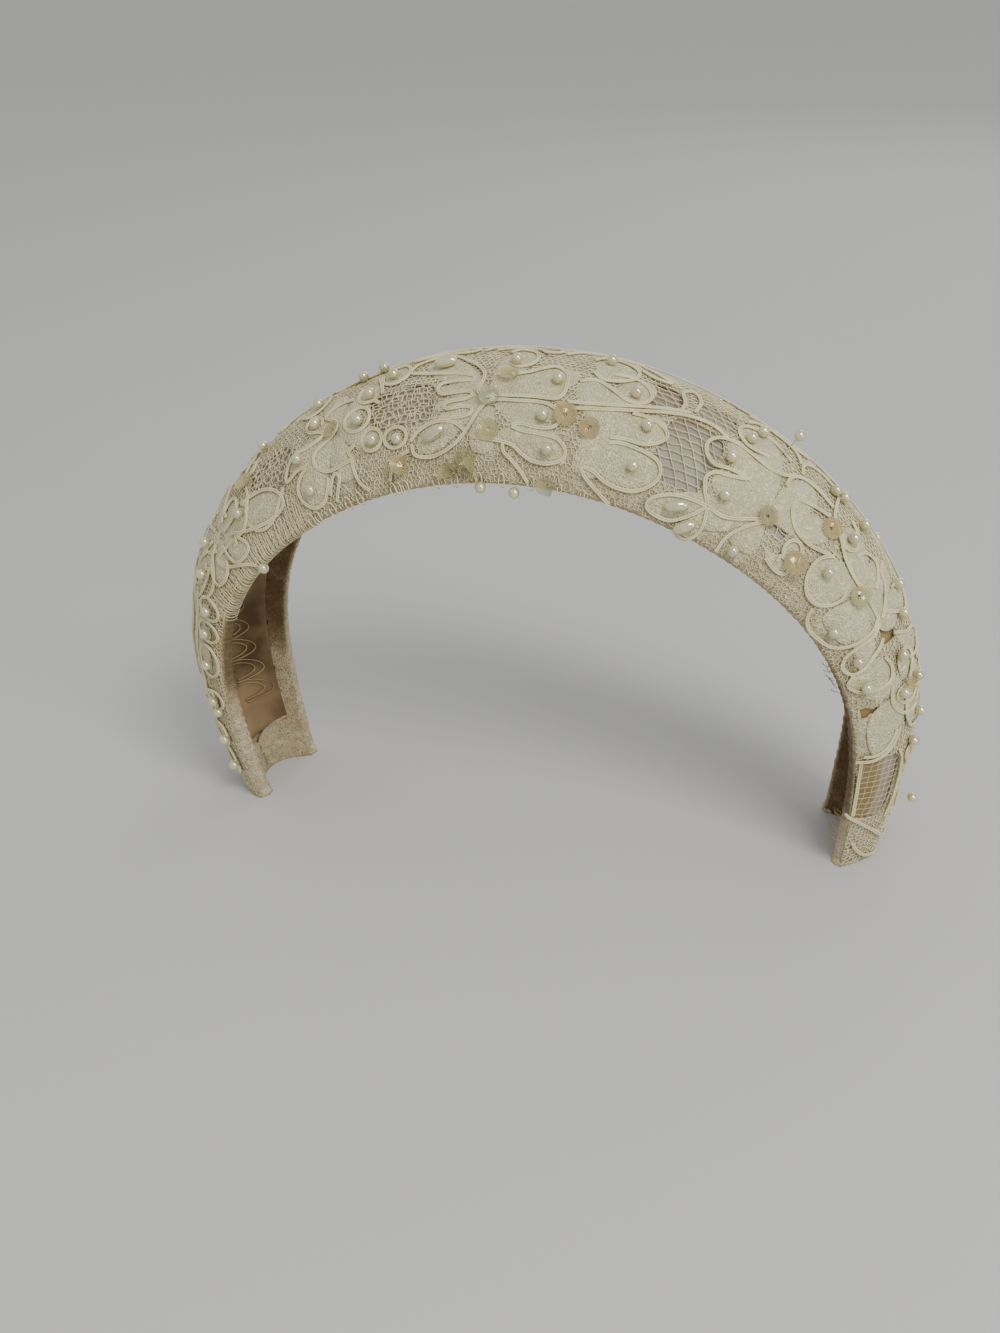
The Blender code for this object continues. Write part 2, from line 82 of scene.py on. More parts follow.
# Lace flowers: name, along, across, and the turn, length and width of each petal
FLOWERS: tuple[tuple[str, float, float, tuple[Row, ...]], ...] = (
    ("crown", -4, -15, (
        (-31, 25, 6.6), (-9.5, 18, 4.6), (26, 21, 8), (72, 17.5, 7.5), (139, 22.5, 8), (165, 13.5, 3.2),
        (-174, 13.5, 3.2), (-149, 21, 7), (-95, 13, 7),
    )),
    ("crown_left", -45, -15, (
        (-30, 15, 6), (3, 8.4, 3.6), (38, 15.5, 6.4), (93, 12, 8), (142, 10, 6), (-169, 16, 6),
        (-135, 19.5, 9), (-85, 14, 8),
    )),
    ("crown_right", 21, -19, (
        (-22, 19, 8.4), (20, 17.5, 6.6), (61, 19.5, 8), (102, 14, 8), (-76, 13, 8),
    )),
    ("shoulder_left", -91, -17, (
        (-15, 27, 8.4), (17, 11, 5), (75, 16, 9), (141, 16, 8), (176, 22, 6.4), (-140, 14, 8), (-68, 14, 8),
    )),
    ("shoulder_right", 67, -19, (
        (-93, 12.8, 8), (-134.5, 23.5, 5), (-155, 26.5, 7), (176.5, 15.5, 6.6), (145, 19.5, 7),
        (118, 25, 7.4), (68, 15, 8.4), (25, 16, 7.4),
    )),
    ("side_left", -124, -13, (
        (-43, 14.6, 6.6), (-82, 13, 5.6), (-131, 16, 8), (8, 12, 8), (90, 15, 9), (165, 13, 7),
    )),
    ("side_right", 97, -16, (
        (-166, 13, 8), (-66, 13.5, 11), (-19, 20.5, 6.4), (140, 16.5, 8), (85, 14, 9), (30, 14, 8),
    )),
    ("ear_left", -154, -9, (
        (-54, 17, 8), (-111, 14.5, 7), (-148, 20, 7), (60, 14, 8), (140, 13, 8),
    )),
    ("ear_right", 125, -11, (
        (-111, 14.2, 8), (-37, 20.9, 14.6), (26, 14, 8), (95, 16, 9), (171, 9.4, 5.6),
    )),
    ("rear_left", -62, 14, (
        (-10, 16, 9), (60, 16, 9), (122, 16, 9), (-170, 16, 9),
    )),
    ("rear_middle", 2, 17, (
        (5, 18, 9), (62, 15, 9), (118, 15, 9), (176, 18, 9),
    )),
    ("rear_right", 62, 14, (
        (-5, 16, 9), (57, 16, 9), (120, 16, 9), (-172, 16, 9),
    )),
)

# Windows of open net: along, across, half length, half width
WINDOWS: tuple[Row, ...] = (
    (-26.5, -14.2, 8.6, 5.6), (44, -16.4, 7, 8.2), (34, -4.2, 4.4, 4.6), (46.4, -3, 4.4, 3.6),
    (-67, -15.4, 8.4, 5.2), (-47, -20.4, 4, 2.6), (71, -19.4, 2.6, 1.8), (109.2, -12.6, 2.9, 2.5),
    (128.6, -23, 1.7, 1.4), (128.5, -20.4, 1.1, 0.9), (153.6, -16.7, 10, 6.5), (-30, 14, 9, 7),
    (32, 14, 9, 7), (-100, 10, 10, 6), (100, 12, 10, 6), (150, 8, 12, 6), (-140, 12, 8, 6),
)

# Cords sewn to the front of the band, each a row of along and across pairs
FRONT_CORDS: tuple[tuple[tuple[float, float], ...], ...] = (
    # Middle
    ((-23.4, -24.2), (-22.8, -26.6), (-18.5, -27.5), (-14, -26.4), (-10.4, -24.2), (-7.8, -21), (-5.8, -17.8),
     (-3.4, -15.7), (3, -15.5), (9, -15.4), (12.4, -16.6), (13.7, -18.8), (12.4, -20.6), (8.6, -21.1),
     (5, -20.7), (2.6, -21.1)),
    ((-23.6, -23.4), (-20.6, -21.2), (-16.4, -20), (-12, -20.6), (-9, -22.6)),
    ((2.6, -21.4), (5.4, -22.2), (10, -22.4), (14.4, -22.9), (16.9, -25), (16.4, -27), (13, -28.3),
     (9, -28.2), (6, -27), (3.4, -25.4), (0.6, -24.8), (-2.6, -24.4), (-7, -23.9)),
    ((0.9, -25), (1.2, -26.8), (3.6, -28.6), (6.4, -30.8), (8.4, -32.8)),
    ((-16, -19.2), (-11, -19.5), (-8, -18.8), (-7.8, -17.5), (-10, -17), (-14, -17.3), (-14.8, -16.4),
     (-13.4, -15.6), (-9.6, -15.2), (-8, -14.2), (-9.4, -13.3), (-13, -13.4), (-15.8, -13.4), (-16.8, -12),
     (-16, -10.5), (-12.6, -10.1), (-9, -10.2)),
    ((-2.6, -14.7), (-5.6, -14.6), (-6.9, -13), (-6.2, -10.4), (-6.4, -8), (-8.4, -5.4), (-11.4, -3),
     (-13.6, -1), (-16.4, 0.8), (-20.6, 0.6), (-24.2, -1.4), (-25, -4.4), (-21.6, -6), (-17, -7),
     (-12.6, -7.8), (-8.8, -8.8)),
    ((-5, -14.2), (0, -14.4), (6, -14.2), (11.4, -14), (12.9, -12.4), (12.9, -9.4), (12.2, -6.6), (9.4, -4.6),
     (6.4, -5.8), (3.6, -7.4), (0.2, -8.5)),
    ((-1.4, -4.6), (1, -5.8), (3.8, -4.4), (4.4, -1.4), (2.8, 1.6), (-0.6, 2.6), (-2.4, 0.6)),
    ((12.6, -15.2), (15.4, -15.5), (20, -14.7), (26, -13.1), (31, -11.5), (36, -9.5), (41, -7.8), (46, -7.2),
     (50.2, -8.4)),
    ((14.4, -14.2), (19, -13.6), (25, -12.2), (30, -10.6), (35.4, -8.6), (40.4, -6.8)),
    ((15.4, -8), (19, -6.8), (23, -8.4), (27, -10.2), (30.4, -9.4), (31.5, -7), (29.8, -4.2), (26.4, -2.6),
     (22, -3.2)),
    ((17.6, -4), (20, -6), (24, -5), (26.6, -2.4), (26.4, 1.4), (23, 4.4), (18.8, 4.6), (16.4, 1.6)),
    ((38.4, -8), (38.6, -4.6), (37.2, -1), (39.4, 1.4), (41.6, -1.6), (41.4, -6)),
    # Left of the middle
    ((-54.6, -20.6), (-57, -21.6), (-59.3, -24.2), (-59.2, -27.2), (-57, -29.6), (-53.6, -29.8), (-51, -28),
     (-49, -25.2)),
    ((-54.4, -20.1), (-58, -20), (-61.8, -20.9), (-60.6, -18.2), (-57.6, -15.8), (-53.5, -15.9), (-49, -15.4),
     (-47.9, -14.3), (-49.8, -13.2), (-52.6, -11.8), (-53.2, -9.4), (-51, -7.8), (-48.6, -9.6),
     (-48.2, -11.8)),
    ((-39.2, -20.6), (-41.4, -21.8), (-40.8, -23.4), (-44, -23.9), (-48.4, -23.9), (-51.4, -22), (-52, -19.6),
     (-50.4, -17.9), (-47, -16.8), (-44.4, -15.2), (-43.8, -13.2), (-45.6, -11.6), (-47.2, -10.2),
     (-46.2, -8.6), (-43, -7.7), (-39.5, -7.9)),
    ((-40.9, -23.8), (-41, -26.4), (-40.4, -29.2), (-38.4, -31.4)),
    ((-49.4, -30.8), (-47.4, -28.4), (-45.8, -26.2), (-46.8, -25), (-48.6, -26.4), (-50.4, -29)),
    ((-31.6, -30.8), (-29.6, -27.6), (-27.4, -26.2), (-24.4, -25.4)),
    ((-32, -12), (-33.6, -10.9), (-36.4, -10.6), (-38, -8.4), (-37.4, -5.4)),
    ((-31.4, -9.4), (-32, -6.6), (-33.4, -3.2)),
    ((-32.6, -3), (-31.6, -6), (-28.4, -7.2), (-25.8, -5.6), (-25.6, -2.6), (-27.6, 0.4), (-30.8, 0.6)),
    ((-56.6, -3.6), (-53, -6.4), (-49.4, -5.4), (-47.8, -2), (-50, 1.6), (-54, 2)),
    # Right of the middle
    ((22, -27.2), (25, -27.6), (28.4, -28.9), (32.4, -29.3), (36.6, -28.5), (39.7, -26), (40.4, -23.2),
     (38.4, -20.9), (34, -20.2), (29, -20.2), (26.4, -20.9)),
    ((21.4, -27.4), (23.6, -29.4), (27.6, -31.4), (31.6, -33.2)),
    ((26.2, -19.7), (30, -19.1), (34, -18.8), (37, -17.2), (38.2, -15.2), (36.6, -13.5), (33, -12.6),
     (29, -12.9)),
    ((53.9, -24.5), (49, -25), (44.6, -26.2), (41.2, -28.4), (40.8, -30.4), (43.6, -31.3), (47.6, -31),
     (50.4, -29.2), (52.4, -27), (54, -24.5)),
    ((50, -30.6), (50.6, -32.6), (53.2, -33.2), (55.4, -31.4), (55.8, -28.6), (54.2, -24.6)),
    ((54, -24.4), (51.8, -22.2), (50.2, -19.6), (51.4, -17.4), (54.8, -16.4), (58.4, -14.9)),
    ((54.2, -24.5), (58.4, -24.5), (61.8, -23.2), (64.6, -21.4), (67.6, -19.7)),
    ((62.4, -31.4), (62.2, -27.8), (64, -24.2), (66, -21.6), (67.9, -19.8)),
    ((59.2, -14.6), (54, -15), (50.4, -15.9), (47.6, -14.4), (46.8, -12), (48.4, -9.6), (52, -8.4),
     (57, -8.8), (61.6, -9.3), (65.2, -8.2), (67.4, -6)),
    ((60, -6.6), (55, -7.2), (51.9, -5), (52, -2.2), (54.8, -0.4), (60, -0.6), (65, -3)),
    ((52.6, 0.8), (55, 3.6), (59, 5), (64.6, 3.2), (67.4, -1)),
    ((70.2, -11.4), (70.8, -14.2), (74, -17), (79, -17.5), (84.6, -15.6)),
    ((66.6, -10.4), (66.8, -7.4), (69.2, -5.2), (73.4, -4.8), (78.4, -5.6)),
    ((70.4, -11.2), (74.8, -9.6), (78.8, -8.6)),
    ((68.6, -4.2), (68, -1), (69.8, 1.8), (74, 2.8), (78.2, 0.4), (78.8, -3.6), (80, -7.6), (84.4, -11),
     (88, -13.2), (93, -14.3), (99, -14.2), (105.2, -14.2)),
    ((85.4, -15), (83.4, -17.6), (83.2, -20.4), (84.8, -23.2), (88, -25), (91.6, -24.7), (94, -22.4),
     (94.7, -19.8), (94.2, -18.2)),
    ((91.8, -25.8), (93.4, -27.9), (96.4, -28.9), (100.6, -28.3), (104.6, -26.6), (106.6, -23.4),
     (107, -19.6), (106.2, -16.4), (104.6, -14.4)),
    ((105.8, -14.4), (107.6, -17), (108.2, -21), (109.2, -24.6), (112, -26.2), (114.8, -24.8), (114.8, -22),
     (113, -19.4), (111.2, -16.6), (109.6, -15)),
    ((83.6, -9.4), (86.6, -11.2), (88.6, -9), (86.8, -5.6), (84, -3.6)),
    ((89.6, -10.4), (91, -7.2), (94.2, -6), (96.6, -7.8), (98.6, -10.8)),
    ((95.8, -3.6), (96.8, -6.4), (99.4, -7.2), (102.2, -9.8), (105.2, -13.2)),
    ((104, -12), (107, -7.6), (108.6, -3.2), (106, 0.4), (102.6, -1.6), (101.6, -5.8)),
    ((110.4, -11.4), (112.8, -6.8), (113.6, -2.4), (116.6, -0.4), (119.4, -3.6), (119, -8)),
    ((115.4, -24.4), (118, -26), (120.6, -24.5), (122, -21.5), (122, -18), (120.8, -15.6), (117.6, -14.9),
     (114.4, -16)),
    ((124.6, -11.6), (125.4, -13.8), (127.4, -14.2), (129.4, -12), (129.8, -9), (128.2, -6.4)),
    ((122.8, -15.6), (127.6, -16), (131.2, -13.6), (132.8, -10), (132.4, -6.4)),
    ((143.8, -24.2), (143.8, -20.4), (142.4, -17.2), (139.4, -14.6), (135.6, -13.2)),
    ((142.2, -22.6), (142.3, -19.8), (140.9, -17.2), (138.1, -15.2), (135.8, -14.4)),
    ((161.8, -23), (164.4, -18.6), (167, -14.6), (170, -10.6), (172.6, -6.6), (174, -2)),
    ((171, -18.6), (174, -16.4), (176.4, -13), (177.6, -8)),
    # Left side
    ((-86, -30.4), (-89, -28), (-93.2, -25.4), (-95.8, -23.2), (-96.4, -20.6), (-92, -20.8), (-86, -22),
     (-81.4, -22.2), (-79, -20.6), (-77.6, -18.4), (-76, -16.8), (-75.8, -13.6)),
    ((-79.2, -22.4), (-77.6, -25.2), (-74, -26.4), (-70, -25.8), (-66.4, -23.8), (-63.4, -21.4)),
    ((-111, -19.4), (-109, -21.4), (-105.6, -22.4), (-101.6, -21.4), (-98, -18.8), (-96.8, -17)),
    ((-95, -18.6), (-98, -16.2), (-99.6, -12.6), (-102.6, -8.6), (-107, -7.6), (-110.6, -10.4),
     (-109.6, -14.8), (-106.4, -18)),
    ((-110, -15.6), (-116, -17.6), (-124, -17.2), (-131, -16.4), (-138.6, -17.6), (-144, -16.4), (-151, -16),
     (-158, -17), (-164, -15.4)),
    ((-109, -12), (-115, -12.6), (-121, -14.4), (-127, -12.4), (-133, -12), (-140, -13.4)),
    ((144.4, -22.9), (150, -22.6), (156, -22), (161.8, -21.3)),
    ((142.6, -12.4), (146, -10.8), (152, -10), (158, -10), (164, -10.8)),
)

# Cords on the rear of the band, where the same lace goes on
REAR_CORDS: tuple[tuple[tuple[float, float], ...], ...] = (
    ((-45, 2), (-41, 4.4), (-36, 5.6), (-31, 4.8), (-33, 2.6), (-38, 1.4), (-44, 1.6)),
    ((-28, 2.4), (-23, 5.4), (-17, 6.4), (-10.6, 4), (-12.6, 2), (-18, 2.4), (-26, 2)),
    ((-25, 3), (-21, 4), (-17, 4.2), (-13.4, 3.4)),
    ((-9, 2.4), (-6, 5.6), (0, 6.8), (7, 5.8), (8.6, 3), (5.4, 1.8), (3.6, 3.6), (-1, 4.2), (-6, 2.6)),
    ((10, 2), (13, 5.6), (18, 7), (25, 6.6), (31, 3.4), (34, 1), (29.4, 1), (25, 4.4)),
    ((-34, 10.4), (-26, 11.4), (-18, 10.8), (-11, 11.4), (-5, 14)),
    ((10, 14), (15, 11.4), (22, 11), (30, 10.2), (38, 10.6)),
    ((-54, 12), (-50, 8.6), (-44, 8), (-38, 9.6), (-34, 10.4)),
    ((38, 10.6), (44, 10), (50, 9), (54, 12.6)),
    ((52.6, 5.6), (58, 8.4), (64, 8.6), (69, 6.4), (65, 4.6), (59, 4.8)),
    ((-49, 4.6), (-54, 7.6), (-60, 7.8), (-65, 5.2), (-60, 3.4), (-54, 3.6)),
    ((-72, 10), (-80, 5.4), (-88, 3.6), (-98, 3), (-108, 4.6), (-116, 8)),
    ((72, 10), (80, 7.4), (88, 6.6), (98, 6), (108, 6.6), (118, 7)),
    ((-116, 8), (-124, 5), (-133, 3.6), (-142, 4.6), (-150, 3)),
    ((118, 7), (127, 4), (136, 2.6), (145, 2), (154, 0), (163, 1)),
    ((-20, 19), (-24, 24), (-31, 25.6), (-38, 23), (-42, 18)),
    ((20, 19), (24, 24), (31, 25.6), (38, 23), (42, 18)),
    ((-84, 14), (-90, 19), (-98, 21), (-106, 18), (-110, 12)),
    ((84, 14), (90, 19), (98, 21), (106, 18), (110, 12)),
    ((146, 12), (152, 15.4), (160, 15), (165, 10), (162, 6)),
    ((-146, 12), (-152, 15.4), (-160, 15), (-165, 10), (-162, 6)),
)

# Rings of cord round single pearls: along, across, radius along, radius across
CORD_RINGS: tuple[Row, ...] = (
    (-34.3, -20.8, 2.8, 2.5), (-27.7, -21.8, 3.1, 2.3), (-38, -14.6, 3.6, 3.1), (-113, -22.2, 3.5, 3.8),
    (-121, -22.4, 3.4, 3.8), (-131.6, -21.6, 5.4, 3.7), (-145.4, -20.4, 3, 2.8), (-154, 4, 2.8, 2.8),
    (152, 3.4, 2.8, 2.8), (-96, 12, 2.8, 2.8), (96, 12.6, 2.8, 2.8),
)

# Flowers whose cords are listed above
CORDED_FLOWERS = ("crown", "crown_left", "crown_right", "shoulder_right", "side_right", "side_left")
CORDED_PETALS = (("ear_right", -111.0), ("ear_right", -37.0))

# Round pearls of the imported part, in its own order: along, across
ROUND_PEARLS: tuple[tuple[float, float], ...] = (
    (12.6, -25.4), (9.8, -18.6), (11, -9.4), (0.4, -4.6), (-33.4, -21.3), (-37, -15.6), (-34.2, -9.4),
    (-49.6, -11.4), (-56, -18), (-54.8, -26), (33.8, -23.9), (33.2, -15), (28.2, -8.2), (56, -20.7),
    (52.8, -13), (56.4, -1.6), (65.6, -29), (86.8, -18.9), (100.4, -24.9), (111.4, -22.8), (86, -8.8),
    (119.8, -22.4), (116, -12), (-80, -18.8), (-96.6, -14), (-103.8, -18.2), (-113, -23), (-121, -22.9),
    (-132.2, -22.4), (-145.2, -21), (-158.6, -19.2), (-167.6, -17.8), (-55.8, 24.8), (7.5, 27.8),
    (55.8, 24.8),
)

# Oat pearls: along, across, turn of the long axis
OAT_PEARLS: tuple[Row, ...] = (
    (-16.6, -22.8, 27), (-16, -4.6, 8), (47.6, -27.4, 32), (51.9, -30.4, 50),
)

# Pearls sewn between the others: along, across
LOOSE_PEARLS: tuple[tuple[float, float], ...] = (
    (-26.8, -22.5), (-29, -4.6), (-50.2, -3.8), (20.2, 1.2), (54.8, -5.4), (125.8, -13), (102.4, -3.2),
    (108, -6.8), (124.5, -6.8), (134.8, -5.6), (142, -7.8), (77, -1), (79.6, -0.4), (87, -1.6),
    (-148.8, -21.2), (-85, -31.4), (-4.8, -34), (4.8, -34.8), (-20, 22), (26, 23), (-38.6, 0.2), (-33.6, 1.8),
    (-68.5, -5.4), (-88, 18), (86, 19), (-118, 15), (118, 14), (152, 3.4), (-154, 4), (-96, 12), (96, 12.6),
    (162, 15), (-162, 13),
)

# Beads that stand off on a thread: along, across, height of the bead
STALKED_PEARLS: tuple[Row, ...] = (
    (62.4, -3.8, 6), (160.3, -4.5, 2.6),
)

# Sequins: along, across, radius, lean, fold
SEQUIN_SPOTS: tuple[Row, ...] = (
    (-26.2, -28.6, 2.5, 28, 0.8), (-12.4, -30, 2.3, 40, 1.1), (-9.4, -28.6, 2.3, 30, 0.9),
    (-6.6, -30.2, 2.1, 50, 1.2), (-3, -22.4, 2.4, 12, 0.15), (-0.6, -9, 2.3, 12, 0),
    (14.6, -32.6, 2.3, 24, 0.6), (14.6, -17.4, 2.6, 16, 0.1), (79.6, -22.8, 2.7, 18, 0.2),
    (80.6, -11, 2.4, 14, 0), (-75.8, -12, 2.6, 16, 0.1), (46, 20, 2.6, 12, 0), (-42, 21, 2.6, 18, 0),
)


def smooth_step(values: np.ndarray, low: float, high: float) -> np.ndarray:
    """Ease from 0 at low to 1 at high.

    Args:
        values: Numbers to ease.
        low: Value where the result leaves 0.
        high: Value where the result reaches 1.

    Returns:
        The eased numbers.
    """
    share = np.clip((values - low) / (high - low), 0.0, 1.0)
    return share * share * (3.0 - 2.0 * share)


def plateau(values: np.ndarray, low: float, high: float, last: float, end: float) -> np.ndarray:
    """Ease from 0 at low to 1 at high, and from 1 at last back to 0 at end."""
    return smooth_step(values, low, high) * (1.0 - smooth_step(values, last, end))


def alike(*values: np.ndarray | float) -> list[np.ndarray]:
    """Numbers or arrays as float arrays of one shape."""
    return np.broadcast_arrays(*(np.asarray(value, float) for value in values))


def ripple(along: np.ndarray, across: np.ndarray, pitch: float, seed: float) -> np.ndarray:
    """Soft uneven waves between -1 and 1.

    Args:
        along: Places along the band.
        across: Places across it.
        pitch: Rough distance between crests.
        seed: Shift that tells one cloth from another.

    Returns:
        The height of the waves at each place.
    """
    turn = math.tau / pitch
    first = np.sin(along * turn + 1.3 * np.sin(across * turn * 0.37 + seed))
    second = np.sin(across * turn * 0.83 - along * turn * 0.41 + 2.1 * seed)
    third = np.sin(along * turn * 1.71 + across * turn * 1.13 + 3.7 * seed)
    return (first + 0.8 * second + 0.5 * third) / 2.3


@dataclass
class BandForm:
    """The domed form that every layer of the headband follows."""

    half_length: float = 178.0
    centre_width: float = 67.0
    end_width: float = 38.0
    centre_radius: float = 25.0
    end_radius: float = 15.0
    centre_tilt: float = -4.5
    end_tilt: float = 10.0
    end_sweep: float = 10.0
    depth_shift: float = -0.98
    side_shift: float = -0.15
    wall: float = 4.7
    edge_bulge: float = 1.3
    edge_length: float = 6.1
    steps: int = 720
    bends: tuple[tuple[float, float], ...] = ((0.0, 10.8), (0.33, 9.5), (0.66, 15.5), (1.0, 0.0))
    sideways: np.ndarray = field(init=False)
    drop: np.ndarray = field(init=False)
    angle: np.ndarray = field(init=False)

    def __post_init__(self) -> None:
        """Trace the crown line of one half."""
        step = self.half_length / self.steps
        count = np.arange(self.steps)
        shares, bends = np.array(self.bends).T
        turn = np.interp((count + 0.5) / self.steps, shares, bends) * MILLIMETRE * step
        early = np.interp((count + 0.25) / self.steps, shares, bends) * MILLIMETRE * step / 2.0
        self.angle = np.concatenate(([0.0], np.cumsum(turn)))
        middle = self.angle[:-1] + early
        self.sideways = np.concatenate(([0.0], np.cumsum(np.cos(middle) * step)))
        self.drop = np.concatenate(([0.0], np.cumsum(np.sin(middle) * step)))

    @property
    def crown_height(self) -> float:
        """Height of the crown line above the floor."""
        return float(self.drop[-1])

    @property
    def end_angle(self) -> float:
        """Downward angle of the legs at their feet."""
        return float(self.angle[-1])

    def half_width(self, along: np.ndarray) -> np.ndarray:
        """Half of the band's width across the dome."""
        share = np.minimum(np.abs(along) / self.half_length, 1.0)
        return (self.centre_width + (self.end_width - self.centre_width) * share ** 2) / 2.0

    def lay(self, along: np.ndarray, across: np.ndarray, lift: np.ndarray) -> np.ndarray:
        """Places on the dome.

        Args:
            along: Places along the crown line.
            across: Places across the dome.
            lift: Heights above the lace.

        Returns:
            Points in metres, one row each.
        """
        along, across, lift = alike(along, across, lift)
        distance = np.abs(along)
        share = np.minimum(distance / self.half_length, 1.0)
        side = np.where(along >= 0.0, 1.0, -1.0)
        marks = np.linspace(0.0, self.half_length, self.steps + 1)
        past = np.maximum(distance - self.half_length, 0.0)
        sideways = np.interp(distance, marks, self.sideways) + past * math.cos(self.end_angle)
        drop = np.interp(distance, marks, self.drop) + past * math.sin(self.end_angle)
        angle = np.interp(distance, marks, self.angle)
        radius = self.centre_radius + (self.end_radius - self.centre_radius) * share ** 2
        tilt = np.radians(self.centre_tilt + (self.end_tilt - self.centre_tilt) * share ** 2)
        turn = across / radius + tilt
        back = (radius + lift) * np.sin(turn) - radius * np.sin(tilt)
        out = (radius + lift) * np.cos(turn) - radius * np.cos(tilt)
        x = side * (sideways + out * np.sin(angle)) + self.side_shift
        y = self.end_sweep * share ** 2 + back + self.depth_shift
        z = self.crown_height - drop + out * np.cos(angle)
        return np.stack([x, y, z], axis=-1) * MILLIMETRE

    def section(self, along: np.ndarray, sweep: np.ndarray, height: np.ndarray) -> Flat:
        """Across and lift of points that follow the section and its rounded edges.

        Args:
            along: Places along the crown line.
            sweep: Distance from the crown line over the dome, round the edge and back inside.
            height: Distance off that line.

        Returns:
            Across and lift of each point.
        """
        half = self.half_width(along)
        reach = np.abs(sweep)
        sign = np.where(sweep >= 0.0, 1.0, -1.0)
        turn = np.clip((reach - half) / self.edge_length, 0.0, 1.0) * math.pi
        inside = np.maximum(reach - half - self.edge_length, 0.0)
        across = np.minimum(reach, half) + self.edge_bulge * np.sin(turn) - inside
        lift = self.wall / 2.0 * (np.cos(turn) - 1.0)
        out_across = np.sin(turn) / self.edge_bulge
        out_lift = np.cos(turn) / (self.wall / 2.0)
        size = np.hypot(out_across, out_lift)
        return sign * (across + height * out_across / size), lift + height * out_lift / size

    def wrap(self, along: np.ndarray, sweep: np.ndarray, height: np.ndarray) -> np.ndarray:
        """Wrap the flat layout onto the band.

        Args:
            along: Places along the crown line.
            sweep: Distances from it over the dome and round the edge.
            height: Heights off the lace.

        Returns:
            Points in metres, none below the floor.
        """
        along, sweep, height = alike(along, sweep, height)
        across, lift = self.section(along, sweep, height)
        points = self.lay(along, across, lift)
        points[..., 2] = np.maximum(points[..., 2], 0.0)
        return points

    def end_reach(self, sweep: np.ndarray) -> np.ndarray:
        """Place along the band where the line at a sweep comes to the floor."""
        start = self.lay(self.half_length, *self.section(self.half_length, np.asarray(sweep, float), 0.0))
        return self.half_length + start[..., 2] / MILLIMETRE / math.sin(self.end_angle)

    def ease(self, along: np.ndarray, across: np.ndarray) -> np.ndarray:
        """Across values eased in near the edges, so that petals stay on the dome.

        Args:
            along: Places along the band.
            across: Places across it.

        Returns:
            The eased places across.
        """
        room = 7.0
        free = self.half_width(along) - 1.0 - room
        past = np.maximum(np.abs(across) - free, 0.0)
        eased = free + room * (1.0 - np.exp(-past / room))
        return np.where(past > 0.0, np.sign(across) * eased, across)

    def frame_at(self, along: float, across: float, height: float) -> tuple[Vector, Vector, Vector, Vector]:
        """Point, run, back and outward directions at a place.

        Args:
            along: Place along the crown line.
            across: Place across the dome.
            height: Height above the lace.

        Returns:
            The point in metres and three unit directions.
        """
        spots = ((along, height), (along + 0.5, height), (along, height + 0.5))
        point, ahead, outer = (Vector(self.wrap(a, across, h)) for a, h in spots)
        out = (outer - point).normalized()
        run = (ahead - point).normalized()
        return point, run, out.cross(run).normalized(), out


def place_object(name: str, data: bpy.types.ID) -> bpy.types.Object:
    """Put data into the scene as an object.

    Args:
        name: The object's name.
        data: Its mesh, lamp or camera.

    Returns:
        The object.
    """
    placed = bpy.data.objects.new(name, data)
    bpy.context.collection.objects.link(placed)
    return placed


def set_inputs(node: Node, **values: object) -> Node:
    """Set a node's unlinked inputs, given by name with underscores for spaces.

    Args:
        node: The node.
        values: Value of each input.

    Returns:
        The same node.
    """
    for name, value in values.items():
        node.inputs[name.replace("_", " ")].default_value = value
    return node


